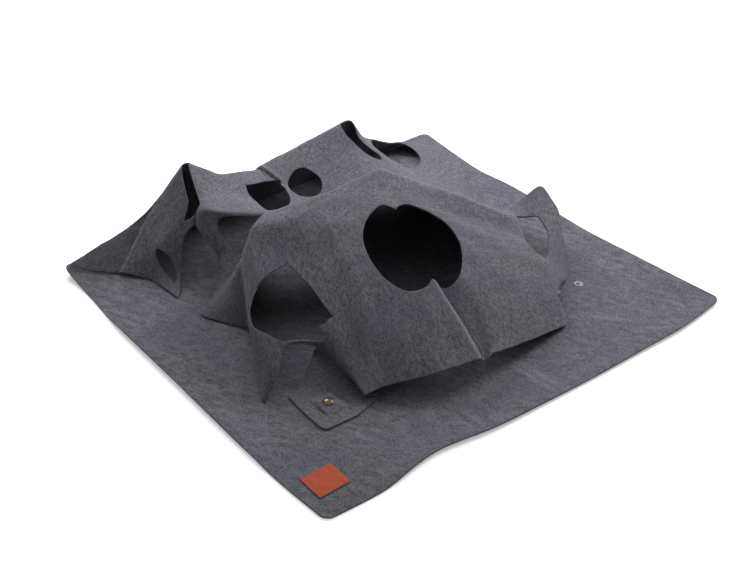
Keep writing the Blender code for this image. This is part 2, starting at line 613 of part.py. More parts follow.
# The tab turns about the line where it leaves the sheet, on the felt's upper side
root_u = np.array([0.0, TAB_LENGTH])
root_v = np.array([TAB_DEPTH, TAB_DEPTH])
root_ends = draped(root_u, root_v) + felt_normal(root_u, root_v) * FELT / 2
root_left, root_right = Vector(root_ends[0]), Vector(root_ends[1])
hinge = bpy.data.objects.new("front_tab_hinge", None)
parts.objects.link(hinge)
hinge_axis = (root_left - root_right).normalized()
hinge_up = Vector((0, 0, 1))
hinge_side = hinge_up.cross(hinge_axis).normalized()
hinge_axes = Matrix((hinge_axis, hinge_side, hinge_axis.cross(hinge_side))).transposed().to_4x4()
hinge.matrix_world = Matrix.Translation((root_left + root_right) / 2) @ hinge_axes
hinge.empty_display_size = TAB_LENGTH / 2
bpy.context.view_layer.update()
to_hinge = hinge.matrix_world.inverted()
front_tab.data.transform(to_hinge)
front_tab.parent = hinge
for piece in (bpy.data.objects["left_cap"], bpy.data.objects["left_socket"]):
    piece.parent = hinge
    piece.matrix_parent_inverse = to_hinge
bpy.context.view_layer.update()
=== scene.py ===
# Felt cat play mat: a flat felt mat, and on it a pierced felt sheet pushed up into tunnels
from math import cos, pi, radians, sin

import bmesh
import bpy
import numpy as np
from mathutils import Matrix, Vector
from mathutils.geometry import delaunay_2d_cdt


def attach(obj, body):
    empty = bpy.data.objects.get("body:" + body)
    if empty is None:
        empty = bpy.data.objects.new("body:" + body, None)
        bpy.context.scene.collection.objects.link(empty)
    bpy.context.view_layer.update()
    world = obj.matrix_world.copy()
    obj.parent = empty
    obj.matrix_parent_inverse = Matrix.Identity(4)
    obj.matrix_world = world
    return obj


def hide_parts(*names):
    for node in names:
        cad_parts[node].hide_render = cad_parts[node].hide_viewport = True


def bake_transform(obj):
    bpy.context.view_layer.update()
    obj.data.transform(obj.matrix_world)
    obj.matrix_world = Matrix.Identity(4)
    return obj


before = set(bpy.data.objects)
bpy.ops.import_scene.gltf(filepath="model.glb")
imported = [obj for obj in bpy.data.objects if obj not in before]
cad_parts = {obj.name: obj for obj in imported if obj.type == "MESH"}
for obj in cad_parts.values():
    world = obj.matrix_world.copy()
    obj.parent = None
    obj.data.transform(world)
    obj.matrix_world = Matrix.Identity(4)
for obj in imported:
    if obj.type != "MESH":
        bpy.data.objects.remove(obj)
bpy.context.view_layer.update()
scene = bpy.context.scene
pieces = bpy.data.collections.new("playMat")
scene.collection.children.link(pieces)
print("frame loaded")


# small helpers
def addAimed(name, data, place, target):
    holder = bpy.data.objects.new(name, data)
    scene.collection.objects.link(holder)
    holder.location = place
    holder.rotation_euler = (Vector(target) - Vector(place)).to_track_quat("-Z", "Y").to_euler()
    return holder


def smoothStep(value):
    value = np.clip(value, 0.0, 1.0)
    return value * value * (3 - 2 * value)


def addPiece(name, mesh, material):
    mesh.materials.clear()
    mesh.materials.append(material)
    piece = bpy.data.objects.new(name, mesh)
    pieces.objects.link(piece)
    return piece


def fill(tree, node, inputs):
    # an output is linked to its input, and a plain value is set there
    for key, value in inputs.items():
        if isinstance(value, bpy.types.NodeSocket):
            tree.links.new(value, node.inputs[key])
        else:
            node.inputs[key].default_value = value


def addNode(tree, kind, inputs=None, **settings):
    node = tree.nodes.new(kind)
    for key, value in settings.items():
        setattr(node, key, value)
    fill(tree, node, inputs or {})
    return node


def blendColour(tree, factor, *colours):
    # 6 and 7 are the colour inputs of a mix node, and 2 is its colour output
    first, second = [colour if isinstance(colour, bpy.types.NodeSocket) else (*colour, 1)
                     for colour in colours]
    return addNode(tree, "ShaderNodeMix", {0: factor, 6: first, 7: second}, data_type="RGBA").outputs[2]


def ranged(tree, value, low, high, toLow=0.0, toHigh=1.0):
    return addNode(tree, "ShaderNodeMapRange", {
        "Value": value, "From Min": low, "From Max": high, "To Min": toLow, "To Max": toHigh},
        clamp=True).outputs["Result"]


def maths(tree, operation, first, second):
    return addNode(tree, "ShaderNodeMath", {0: first, 1: second}, operation=operation).outputs[0]


def grain(tree, spot, scale, detail, roughness=0.5, distortion=0.0, dimensions="3D"):
    return addNode(tree, "ShaderNodeTexNoise", {
        "Vector": spot, "Scale": scale, "Detail": detail, "Roughness": roughness,
        "Distortion": distortion}, noise_dimensions=dimensions).outputs["Fac"]


def newMaterial(name, inputs):
    material = bpy.data.materials.new(name)
    material.use_nodes = True
    shader = material.node_tree.nodes["Principled BSDF"]
    fill(material.node_tree, shader, inputs)
    return material, material.node_tree, shader


# camera, at the height and side from which the mat is seen
viewSettings = {"place": (-1.3994, -1.7008, 1.5373), "target": (-0.018, 0.0125, 0.0), "lens": 61.88}
camera = bpy.data.cameras.new("viewCamera")
camera.lens = viewSettings["lens"]
camera.sensor_fit = "HORIZONTAL"
scene.camera = addAimed("viewCamera", camera, viewSettings["place"], viewSettings["target"])


# needle felt: matted fibres over soft cloudy patches, on the felt's own flat map
strandTurns = (8, 47, 83, 121, 158)
noiseShifts = {"strand": 3.1, "cloud": 1.7, "patch": 5.3, "speck": 9.1, "blue": 12.9}


def feltMaterial(name, look):
    material, tree, shader = newMaterial(name, {
        "Roughness": 0.95, "Specular IOR Level": 0.25, "Sheen Weight": look["sheen"],
        "Sheen Roughness": 0.45, "Sheen Tint": (0.86, 0.87, 1.0, 1.0)})
    flat = addNode(tree, "ShaderNodeUVMap", uv_map="felt").outputs["UV"]

    def noise(scale, detail, roughness, stretch, turn, shift):
        place = addNode(tree, "ShaderNodeMapping", {
            "Vector": flat, "Location": (shift, shift * 0.7, 0), "Rotation": (0, 0, radians(turn)),
            "Scale": (1 / (scale * stretch[0]), 1 / (scale * stretch[1]), 1)}, vector_type="TEXTURE")
        return grain(tree, place.outputs["Vector"], 1.0, detail, roughness, dimensions="2D")

    paleFibres, darkFibres = 0.0, 0.0
    for step, turn in enumerate(strandTurns):
        strand = noise(look["fibre"], 1.0, 0.4, (1.0, 0.16), turn, noiseShifts["strand"] + step)
        paleFibres = maths(tree, "MAXIMUM", paleFibres, ranged(tree, strand, 0.60, 0.74))
        darkFibres = maths(tree, "MAXIMUM", darkFibres, ranged(tree, strand, 0.38, 0.24))
    cloud = noise(look["cloud"], 4.0, 0.62, look["cloudStretch"], look["cloudTurn"], noiseShifts["cloud"])
    patch = noise(look["patch"], 3.0, 0.6, (1, 0.8), 30, noiseShifts["patch"])
    speck = noise(look["speck"], 2.0, 0.6, (1, 1), 0, noiseShifts["speck"])
    blue = noise(look["blue"], 2.0, 0.55, (1, 0.7), 70, noiseShifts["blue"])
    # paler where the felt bulges or is creased: partly wear, partly a painted highlight
    wearAndHighlightShare = addNode(tree, "ShaderNodeVertexColor", layer_name="wearAndHighlightShare").outputs["Color"]
    wearAndHighlight = ranged(tree, cloud, 0.3, 0.7, look["wearAndHighlightStrength"] * 0.5, look["wearAndHighlightStrength"])

    base = blendColour(tree, ranged(tree, cloud, 0.37, 0.63), look["dark"], look["light"])
    for share, colour in ((ranged(tree, patch, 0.36, 0.64, 0.0, look["patchShare"]), "dark"),
                          (ranged(tree, blue, 0.45, 0.66, 0.0, look["blueShare"]), "blueColour"),
                          (ranged(tree, speck, 0.56, 0.72, 0.0, look["speckShare"]), "pale"),
                          (maths(tree, "MULTIPLY", paleFibres, look["paleShare"]), "pale"),
                          (maths(tree, "MULTIPLY", darkFibres, look["darkShare"]), "deep"),
                          (maths(tree, "MULTIPLY", wearAndHighlightShare, wearAndHighlight), "pale")):
        base = blendColour(tree, share, base, look[colour])
    height = maths(tree, "ADD", maths(tree, "MULTIPLY", paleFibres, 0.7),
                   maths(tree, "SUBTRACT", maths(tree, "MULTIPLY", speck, 0.6), darkFibres))
    height = maths(tree, "ADD", height, maths(tree, "MULTIPLY", cloud, 1.5))
    bump = addNode(tree, "ShaderNodeBump", {"Height": height, "Strength": 0.55, "Distance": 0.0007})
    fill(tree, shader, {"Base Color": base, "Normal": bump.outputs["Normal"]})
    return material


# the wear share also sets how strongly bulges and creases are painted with a highlight
feltLook = {"fibre": 620.0, "cloud": 75.0, "cloudStretch": (1.0, 0.45), "cloudTurn": 25,
            "patch": 13.0, "patchShare": 0.45, "blue": 9.0, "blueShare": 0.45,
            "speck": 430.0, "speckShare": 0.50, "wearAndHighlightStrength": 0.42, "paleShare": 0.30,
            "darkShare": 0.40, "sheen": 0.08,
            "dark": (0.054, 0.054, 0.063), "light": (0.128, 0.128, 0.147),
            "blueColour": (0.080, 0.077, 0.120), "pale": (0.250, 0.252, 0.285),
            "deep": (0.024, 0.024, 0.030)}
sheetLook = dict(feltLook, cloud=140.0, cloudStretch=(1.0, 0.7), patch=16.0,
                 dark=(0.060, 0.060, 0.069), light=(0.134, 0.134, 0.152))
matFelt = feltMaterial("matFelt", feltLook)
sheetFelt = feltMaterial("sheetFelt", sheetLook)


# flat felt: rims, their outward ways, and a fill of even triangles with softly rounded cut edges
def hermite(t, one, first, two, last):
    # a curve between two values with the given slopes at its ends
    return ((2 * t ** 3 - 3 * t ** 2 + 1) * one + (t ** 3 - 2 * t ** 2 + t) * first
            + (3 * t ** 2 - 2 * t ** 3) * two + (t ** 3 - t ** 2) * last)


def closedLine(points, corners, step):
    points = np.array(points, dtype=float)
    way = np.roll(points, -1, 0) - np.roll(points, 1, 0)
    way /= np.linalg.norm(way, axis=1)[:, None]
    way[list(corners)] = 0
    line = []
    for k in range(len(points)):
        after = (k + 1) % len(points)
        span = np.linalg.norm(points[after] - points[k])
        count = max(int(np.ceil(span / step)), 1)
        t = (np.arange(count) / count)[:, None]
        line.append(hermite(t, points[k], way[k] * span, points[after], way[after] * span))
    return np.vstack(line)


def evenStretch(one, two, step):
    count = max(int(round(np.linalg.norm(np.subtract(two, one)) / step)), 1)
    return np.linspace(one, two, count, endpoint=False)


def arcPoints(centre, radius, start, count):
    turn = start + np.arange(count) / count * pi / 2
    return np.stack([centre[0] + radius * np.cos(turn), centre[1] + radius * np.sin(turn)], 1)


def cornerArcs(width, depth, corner):
    # front left, front right, back right and back left
    return [arcPoints(centre, corner, start, 8) for centre, start in (
        ((corner, corner), pi), ((width - corner, corner), -pi / 2),
        ((width - corner, depth - corner), 0), ((corner, depth - corner), pi / 2))]


def roundedSquare(width, depth, corner, step):
    frontLeft, frontRight, backRight, backLeft = cornerArcs(width, depth, corner)
    return np.vstack([frontLeft, evenStretch((corner, 0), (width - corner, 0), step),
                      frontRight, evenStretch((width, corner), (width, depth - corner), step),
                      backRight, evenStretch((width - corner, depth), (corner, depth), step),
                      backLeft, evenStretch((0, depth - corner), (0, corner), step)])


def alongLine(line, x, y):
    # how far along a line, how far to the left of it, and the line's length
    (ax, ay), (bx, by) = line
    span = np.hypot(bx - ax, by - ay)
    along = ((x - ax) * (bx - ax) + (y - ay) * (by - ay)) / span
    aside = ((y - ay) * (bx - ax) - (x - ax) * (by - ay)) / span
    return along, aside, span


def signedArea(line):
    ahead = np.roll(line, -1, 0)
    return float((line[:, 0] * ahead[:, 1] - line[:, 1] * ahead[:, 0]).sum() / 2)


def oriented(line, hole):
    return line[::-1] if (signedArea(line) > 0) == hole else line


def outwardWays(line, free):
    ahead = np.roll(line, -1, 0) - line
    side = np.stack([ahead[:, 1], -ahead[:, 0]], 1)
    side /= np.linalg.norm(side, axis=1)[:, None]
    side *= free[:, None]
    total = side + np.roll(side, 1, 0)
    count = free.astype(float) + np.roll(free, 1)
    size = np.maximum((total ** 2).sum(1), 0.75)
    return total * (count / size)[:, None]


def insideOf(points, line):
    ahead = np.roll(line, -1, 0)
    inside = np.zeros(len(points), bool)
    for (ax, ay), (bx, by) in zip(line, ahead):
        if ay == by:
            continue
        crossing = (points[:, 1] < ay) != (points[:, 1] < by)
        reach = ax + (points[:, 1] - ay) * (bx - ax) / (by - ay)
        inside ^= crossing & (points[:, 0] < reach)
    return inside


def insideRims(points, rims):
    keep = insideOf(points, rims[0])
    for rim in rims[1:]:
        keep &= ~insideOf(points, rim)
    return keep


def gapTo(points, lines, part=64):
    # the least distance to a point of the lines, taken in parts to save memory
    near = np.full(len(points), np.inf)
    for line in lines:
        for start in range(0, len(line), part):
            gap = points[:, None] - line[None, start:start + part]
            near = np.minimum(near, np.sqrt((gap ** 2).sum(2)).min(1))
    return near


def feltSlab(rims, seams, spacing, thickness, edge, rings=()):
    # gives places (u, v, height), all faces, and the faces of the cut edges; the outer rim comes first
    half, bevel = thickness / 2, edge * 0.29
    support = edge + spacing * 0.25
    profile = [(edge, half), (bevel, half - bevel), (0.0, half - edge),
               (0.0, edge - half), (bevel, bevel - half), (edge, -half)]
    loops = [oriented(rim, order > 0) for order, rim in enumerate(rims)]
    free = [np.ones(len(line), bool) for line in loops]
    if seams is not None:
        free[0] = ~seams((loops[0] + np.roll(loops[0], -1, 0)) / 2)
    ways = [outwardWays(line, sides) for line, sides in zip(loops, free)]
    inner = [line - way * support for line, way in zip(loops, ways)]
    low, high = loops[0].min(0), loops[0].max(0)
    grid = []
    for number, row in enumerate(np.arange(low[1], high[1], spacing * 0.866)):
        xs = np.arange(low[0] + spacing / 2 * (number % 2), high[0], spacing)
        grid.append(np.stack([xs, np.full(len(xs), row)], 1))
    grid = np.vstack(grid)
    grid = grid[insideRims(grid, inner)]
    grid = grid[gapTo(grid, inner + list(rings)) > spacing * 0.55]
    edges, start = [], 0
    for line in inner:
        edges += [(start + k, start + (k + 1) % len(line)) for k in range(len(line))]
        start += len(line)
    points = [Vector(point) for point in np.vstack(inner + list(rings) + [grid])]
    found = delaunay_2d_cdt(points, edges, [], 0, 1e-7, True)
    flat = np.array([tuple(vert) for vert in found[0]])
    faces = np.array([face for face in found[2] if len(face) == 3])
    spots = {source: index for index, sources in enumerate(found[3]) for source in sources}
    faces = faces[insideRims(flat[faces].mean(1), inner)]
    one, two, three = (flat[faces[:, k]] for k in range(3))
    turn = (two - one)[:, 0] * (three - one)[:, 1] - (two - one)[:, 1] * (three - one)[:, 0]
    faces[turn < 0] = faces[turn < 0][:, ::-1]
    size = len(flat)
    places = [np.c_[flat, np.full(size, half)], np.c_[flat, np.full(size, -half)]]
    allFaces = faces.tolist() + (faces[:, ::-1] + size).tolist()
    rimFaces = []
    base, offset = 2 * size, 0
    for line, way in zip(loops, ways):
        count = len(line)
        levels = [[spots[offset + k] for k in range(count)]]
        for back, height in profile:
            places.append(np.c_[line - way * back, np.full(count, height)])
            levels.append(list(range(base, base + count)))
            base += count
        levels.append([spots[offset + k] + size for k in range(count)])
        for level, (upper, lower) in enumerate(zip(levels, levels[1:])):
            for k in range(count):
                after = (k + 1) % count
                face = [upper[k], lower[k], lower[after], upper[after]]
                allFaces.append(face)
                upright = level == len(profile) // 2
                if upright and abs(way[k]).sum() > 0 and abs(way[after]).sum() > 0:
                    rimFaces.append(face)
        offset += count
    return np.vstack(places), allFaces, rimFaces


def feltMesh(name, places, faces, carried, wearAndHighlightShare):
    # the map keeps the flat felt's own measure, and each place gets a share of paler colour: wear, and on
    # the felt also a painted highlight where it bulges or is creased
    mesh = bpy.data.meshes.new(name)
    mesh.from_pydata([tuple(spot) for spot in carried], [], faces)
    layer = mesh.uv_layers.new(name="felt")
    indexes = np.empty(len(mesh.loops), dtype=np.int64)
    mesh.loops.foreach_get("vertex_index", indexes)
    flat = places[indexes][:, :2] + places[indexes][:, 2:3] * 0.8
    layer.data.foreach_set("uv", flat.astype(np.float32).ravel())
    wearAndHighlight = mesh.color_attributes.new("wearAndHighlightShare", "FLOAT_COLOR", "POINT")
    colours = np.c_[wearAndHighlightShare, wearAndHighlightShare, wearAndHighlightShare, np.ones(len(wearAndHighlightShare))]
    wearAndHighlight.data.foreach_set("color", colours.astype(np.float32).ravel())
    bm = bmesh.new()
    bm.from_mesh(mesh)
    bmesh.ops.remove_doubles(bm, verts=bm.verts, dist=1e-6)
    bmesh.ops.dissolve_degenerate(bm, edges=bm.edges, dist=1e-6)
    bm.to_mesh(mesh)
    bm.free()
    mesh.shade_smooth()
    mesh.set_sharp_from_angle(angle=radians(60))
    return mesh


def rimMesh(name, faces, carried):
    used = sorted({index for face in faces for index in face})
    order = {index: k for k, index in enumerate(used)}
    mesh = bpy.data.meshes.new(name)
    mesh.from_pydata([tuple(carried[index]) for index in used], [],
                     [[order[index] for index in face] for face in faces])
    return mesh


# loose fibres that stand out of every cut edge
fibreShape = {"tipSide": 0.00012, "root": -0.0003, "middleShares": (0.55, 0.0, 0.5),
              "bow": (0.0006, 0.0003, 0.0), "lean": 1.1, "sizes": (0.4, 1.25), "lowest": 0.0001}


def fibreTree():
    tree = bpy.data.node_groups.new("edgeFibres", "GeometryNodeTree")
    sockets = tree.interface
    sockets.new_socket("Geometry", in_out="OUTPUT", socket_type="NodeSocketGeometry")
    for name, kind in (("Geometry", "Geometry"), ("Density", "Float"), ("Length", "Float"),
                       ("Radius", "Float"), ("Seed", "Int"), ("Material", "Material")):
        sockets.new_socket(name, in_out="INPUT", socket_type="NodeSocket" + kind)
    start = addNode(tree, "NodeGroupInput").outputs
    spread = addNode(tree, "GeometryNodeDistributePointsOnFaces",
                     {"Mesh": start["Geometry"], "Density": start["Density"], "Seed": start["Seed"]})
    tip = addNode(tree, "ShaderNodeCombineXYZ", {"X": fibreShape["tipSide"], "Z": start["Length"]})
    middle = addNode(tree, "ShaderNodeVectorMath",
                     {0: tip.outputs[0], 1: fibreShape["middleShares"]}, operation="MULTIPLY")
    bendSide = addNode(tree, "ShaderNodeVectorMath",
                       {0: middle.outputs[0], 1: fibreShape["bow"]}, operation="ADD")
    strand = addNode(tree, "GeometryNodeCurveQuadraticBezier",
                     {"Resolution": 4, "Start": (0.0, 0.0, fibreShape["root"]),
                      "Middle": bendSide.outputs[0], "End": tip.outputs[0]})
    section = addNode(tree, "GeometryNodeCurvePrimitiveCircle",
                      {"Resolution": 3, "Radius": start["Radius"]})
    fibre = addNode(tree, "GeometryNodeCurveToMesh",
                    {"Curve": strand.outputs["Curve"], "Profile Curve": section.outputs["Curve"],
                     "Fill Caps": True})
    steepest = Vector((fibreShape["lean"], fibreShape["lean"], pi))
    lean = addNode(tree, "FunctionNodeRandomValue",
                   {"Min": -steepest, "Max": steepest, "Seed": start["Seed"]}, data_type="FLOAT_VECTOR")
    leanTurn = addNode(tree, "FunctionNodeEulerToRotation", {"Euler": lean.outputs[0]})
    turn = addNode(tree, "FunctionNodeRotateRotation",
                   {"Rotation": spread.outputs["Rotation"], "Rotate By": leanTurn.outputs[0]},
                   rotation_space="LOCAL")
    least, most = fibreShape["sizes"]
    size = addNode(tree, "FunctionNodeRandomValue",
                   {2: least, 3: most, "Seed": start["Seed"]}, data_type="FLOAT")
    placed = addNode(tree, "GeometryNodeInstanceOnPoints",
                     {"Points": spread.outputs["Points"], "Instance": fibre.outputs["Mesh"],
                      "Rotation": turn.outputs[0], "Scale": size.outputs[1]})
    real = addNode(tree, "GeometryNodeRealizeInstances", {"Geometry": placed.outputs["Instances"]})
    spot = addNode(tree, "GeometryNodeInputPosition").outputs[0]
    parts = addNode(tree, "ShaderNodeSeparateXYZ", {0: spot}).outputs
    aboveFloor = addNode(tree, "ShaderNodeCombineXYZ", {
        "X": parts["X"], "Y": parts["Y"], "Z": maths(tree, "MAXIMUM", parts["Z"], fibreShape["lowest"])})
    lifted = addNode(tree, "GeometryNodeSetPosition",
                     {"Geometry": real.outputs["Geometry"], "Position": aboveFloor.outputs[0]})
    dyed = addNode(tree, "GeometryNodeSetMaterial",
                   {"Geometry": lifted.outputs["Geometry"], "Material": start["Material"]})
    end = addNode(tree, "NodeGroupOutput")
    tree.links.new(dyed.outputs["Geometry"], end.inputs["Geometry"])
    return tree


fibreSettings = {"Density": 190000.0, "Length": 0.0017, "Radius": 0.00005, "Seed": 7}
edgeFibres = fibreTree()


def fibrePiece(name, rim, material):
    holder = bpy.data.objects.new(name, rim)
    pieces.objects.link(holder)
    modifier = holder.modifiers.new("fibres", "NODES")
    modifier.node_group = edgeFibres
    settings = {**fibreSettings, "Material": material}
    for socket in edgeFibres.interface.items_tree:
        if socket.in_out == "INPUT" and socket.name in settings:
            modifier[socket.identifier] = settings[socket.name]
    bpy.context.view_layer.update()
    graph = bpy.context.evaluated_depsgraph_get()
    mesh = bpy.data.meshes.new_from_object(holder.evaluated_get(graph))
    holder.modifiers.clear()
    bpy.data.objects.remove(holder)
    return addPiece(name, mesh, material)


# the flat mat, its bowed edges and its curled corner
mat = {"length": 1.000, "depth": 0.900, "thickness": 0.0035, "corner": 0.018, "bow": 0.034,
       "curlRise": 0.019, "curlReach": 0.120, "spacing": 0.007, "edge": 0.0007, "rimStep": 0.005,
       "front": (0.35, 0.50, 0.09, 0.59, 0.78, 0.91, 0.97, 1.00, 0.59),
       "back": (0.35, 0.24, 0.15, 0.15, 0.15, 0.15, 0.15, 0.09, 0.06),
       "left": (0.24, 0.44, 0.47, 0.43, 0.38, 0.35, 0.29, 0.03, 0.00),
       "right": (-0.29, -0.56, -0.74, -0.91, -0.82, -0.74, -0.91, -0.65, -0.24)}
felt = mat["thickness"]
layerGap = 0.0003


def bow(side, place):
    shares = np.array(mat[side])
    stops = np.linspace(0.0, 1.0, len(shares))
    slopes = np.gradient(shares, stops) * stops[1]
    cell = np.clip((place * (len(stops) - 1)).astype(int), 0, len(stops) - 2)
    t = (place - stops[cell]) / stops[1]
    return mat["bow"] * hermite(t, shares[cell], slopes[cell], shares[cell + 1], slopes[cell + 1])


def matPoint(across, along):
    across, along = np.atleast_1d(across).astype(float), np.atleast_1d(along).astype(float)
    left = -mat["length"] / 2 - bow("left", along)
    right = mat["length"] / 2 + bow("right", along)
    front = -mat["depth"] / 2 - bow("front", across)
    back = mat["depth"] / 2 + bow("back", across)
    return np.stack([left + (right - left) * across, front + (back - front) * along], 1)


curlCorner = matPoint(0.0, 1.0)[0]


def curl(x, y):
    away = np.hypot(x - curlCorner[0], y - curlCorner[1])
    return mat["curlRise"] * np.clip(1.0 - away / mat["curlReach"], 0.0, 1.0) ** 2


# snap places, on the flat sheet and on the mat
snap = {"leftShares": (0.0775, 0.0542), "rightShares": (0.932, 0.059), "rightStud": (0.3083, -0.2749),
        "flat": 0.013, "ease": 0.036, "cap": 0.0110, "capHeight": 0.0050, "lip": 0.0009, "stem": 0.0019,
        "socket": 0.0080, "socketHeight": 0.0032, "plate": 0.0010, "cavity": 0.0042,
        "flange": 0.0100, "flangeHeight": 0.0010, "knob": 0.0035, "waist": 0.0030,
        "knobHeight": 0.0020, "post": 0.0015, "washer": 0.0080, "washerHeight": 0.0008}
restLevel = felt + layerGap + felt / 2
studBase = felt + layerGap
snapLevel = studBase + snap["flangeHeight"] + layerGap + snap["socketHeight"] + layerGap + felt / 2
rightStudPlace = (snap["rightStud"][0] * mat["length"], snap["rightStud"][1] * mat["depth"])


# the pushed-up sheet: where each fold crossing lies, by rows from front to back
sheet = {"length": 0.925, "depth": 1.020, "corner": 0.014, "rise": 0.220, "bend": 0.017,
         "crisp": 0.011, "tabLength": 0.112, "tabDepth": 0.105, "tabBend": 0.024, "spacing": 0.0064,
         "edge": 0.0007, "rimStep": 0.0055, "holeStep": 0.004, "notchFrom": 0.002, "ripple": 0.0011,
         "rippleFrom": 0.004, "rippleRamp": 0.030, "pleatRamp": 0.024,
         "columns": (0.000, 0.098, 0.211, 0.283, 0.384, 0.519, 0.636, 0.712, 0.804, 0.894, 1.000),
         "rows": (0.0000, 0.0628, 0.1369, 0.2026, 0.2920, 0.3661, 0.4298, 0.5944, 0.6990, 0.8026, 0.8873,
                  1.0000)}
foldPlaces = (
    ((-0.379, -0.318, 0.00), (-0.305, -0.322, 0.00), (-0.236, -0.302, 0.00), (-0.277, -0.298, 0.08),
     (-0.234, -0.310, 0.11), (-0.148, -0.369, 0.21), (-0.061, -0.392, 0.23), (-0.016, -0.390, 0.19),
     (0.073, -0.387, 0.12), (0.186, -0.374, 0.01), (0.212, -0.287, 0.00)),
    ((-0.378, -0.239, 0.00), (-0.318, -0.250, 0.00), (-0.250, -0.239, 0.00), (-0.271, -0.246, 0.15),
     (-0.209, -0.227, 0.34), (-0.114, -0.275, 0.42), (-0.035, -0.312, 0.42), (0.014, -0.323, 0.36),
     (0.099, -0.331, 0.26), (0.203, -0.329, 0.13), (0.250, -0.261, 0.00)),
    ((-0.374, -0.188, 0.00), (-0.335, -0.176, 0.02), (-0.270, -0.144, 0.14), (-0.270, -0.189, 0.30),
     (-0.182, -0.141, 0.56), (-0.078, -0.177, 0.62), (-0.008, -0.228, 0.60), (0.045, -0.253, 0.52),
     (0.126, -0.273, 0.39), (0.221, -0.282, 0.24), (0.300, -0.247, 0.00)),
    ((-0.419, -0.169, 0.00), (-0.385, -0.156, 0.21), (-0.344, -0.129, 0.37), (-0.272, -0.135, 0.44),
     (-0.159, -0.065, 0.73), (-0.048, -0.091, 0.78), (0.016, -0.155, 0.73), (0.072, -0.192, 0.63),
     (0.150, -0.223, 0.48), (0.236, -0.241, 0.31), (0.335, -0.206, 0.03)),
    ((-0.375, -0.078, 0.00), (-0.361, -0.031, 0.39), (-0.308, 0.000, 0.55), (-0.235, 0.017, 0.66),
     (-0.136, 0.010, 0.86), (-0.017, -0.006, 0.89), (0.039, -0.083, 0.82), (0.099, -0.131, 0.70),
     (0.173, -0.172, 0.53), (0.252, -0.200, 0.34), (0.380, -0.124, 0.37)),
    ((-0.335, 0.000, 0.00), (-0.290, 0.101, 0.66), (-0.247, 0.134, 0.80), (-0.204, 0.092, 0.87),
     (-0.118, 0.067, 0.91), (0.006, 0.058, 0.93), (0.057, -0.028, 0.85), (0.119, -0.085, 0.71),
     (0.191, -0.134, 0.53), (0.263, -0.170, 0.32), (0.383, -0.056, 0.55)),
    ((-0.311, 0.052, 0.00), (-0.275, 0.133, 0.48), (-0.203, 0.163, 0.80), (-0.157, 0.135, 0.87),
     (-0.085, 0.106, 0.93), (0.058, 0.108, 0.97), (0.110, 0.017, 0.87), (0.172, -0.046, 0.75),
     (0.233, -0.107, 0.57), (0.286, -0.085, 0.41), (0.360, 0.022, 0.12)),
    ((-0.359, 0.152, 0.00), (-0.300, 0.178, 0.12), (-0.215, 0.211, 0.25), (-0.120, 0.211, 0.23),
     (-0.020, 0.222, 0.21), (0.090, 0.233, 0.21), (0.190, 0.222, 0.21), (0.250, 0.178, 0.19),
     (0.300, 0.111, 0.14), (0.330, 0.078, 0.07), (0.355, 0.083, 0.01)),
    ((-0.365, 0.246, 0.00), (-0.312, 0.272, 0.01), (-0.258, 0.326, 0.62), (-0.212, 0.273, 0.61),
     (-0.154, 0.234, 0.57), (0.030, 0.300, 0.32), (0.140, 0.300, 0.37), (0.230, 0.278, 0.25),
     (0.300, 0.244, 0.12), (0.345, 0.200, 0.04), (0.365, 0.158, 0.00)),
    ((-0.372, 0.354, 0.00), (-0.345, 0.376, 0.23), (-0.241, 0.372, 0.66), (-0.189, 0.374, 0.57),
     (-0.105, 0.357, 0.47), (0.026, 0.375, 0.41), (0.185, 0.378, 0.49), (0.250, 0.367, 0.32),
     (0.320, 0.367, 0.08), (0.385, 0.356, 0.03), (0.460, 0.324, 0.00)),
    ((-0.412, 0.422, 0.00), (-0.308, 0.476, 0.36), (-0.218, 0.456, 0.88), (-0.135, 0.456, 0.57),
     (-0.036, 0.456, 0.50), (0.080, 0.456, 0.58), (0.223, 0.456, 0.67), (0.254, 0.456, 0.39),
     (0.327, 0.456, 0.21), (0.409, 0.456, 0.07), (0.468, 0.373, 0.00)),
    ((-0.498, 0.497, 0.02), (-0.410, 0.494, 0.19), (-0.205, 0.494, -0.0073), (-0.117, 0.493, -0.0071),
     (-0.017, 0.493, -0.0070), (0.100, 0.493, -0.0070), (0.245, 0.493, -0.0071), (0.290, 0.493, -0.005),
     (0.352, 0.492, -0.003), (0.420, 0.489, 0.00), (0.462, 0.414, 0.00)),
)
foldTable = np.array(foldPlaces) * np.array([mat["length"], mat["depth"], sheet["rise"]])
foldTable[:, :, 2] += restLevel
columnLines = np.array(sheet["columns"]) * sheet["length"]
rowLines = np.array(sheet["rows"]) * sheet["depth"]


def creased(u, v):
    column = np.interp(u, columnLines, np.arange(len(columnLines)))
    row = np.interp(v, rowLines, np.arange(len(rowLines)))
    i = np.clip(column.astype(int), 0, len(columnLines) - 2)
    j = np.clip(row.astype(int), 0, len(rowLines) - 2)
    s, t = (column - i)[:, None], (row - j)[:, None]
    near = foldTable[j, i] * (1 - s) + foldTable[j, i + 1] * s
    far = foldTable[j + 1, i] * (1 - s) + foldTable[j + 1, i + 1] * s
    return near * (1 - t) + far * t


def bent(u, v, reach):
    reachU = np.minimum(reach, np.minimum(u, sheet["length"] - u).clip(0))
    reachV = np.minimum(reach, np.minimum(v, sheet["depth"] - v).clip(0))
    steps = np.linspace(-1.0, 1.0, 7)
    total = np.zeros((len(u), 3))
    for a in steps:
        for b in steps:
            total += creased(u + a * reachU, v + b * reachV)
    return total / len(steps) ** 2


def sheetWays(u, v, step):
    # a point of the bent sheet, and its two ways there
    spots = bent(np.array([u, u - step, u + step, u, u]), np.array([v, v, v, v - step, v + step]),
                 sheet["bend"])
    return spots[0], spots[2] - spots[1], spots[4] - spots[3]


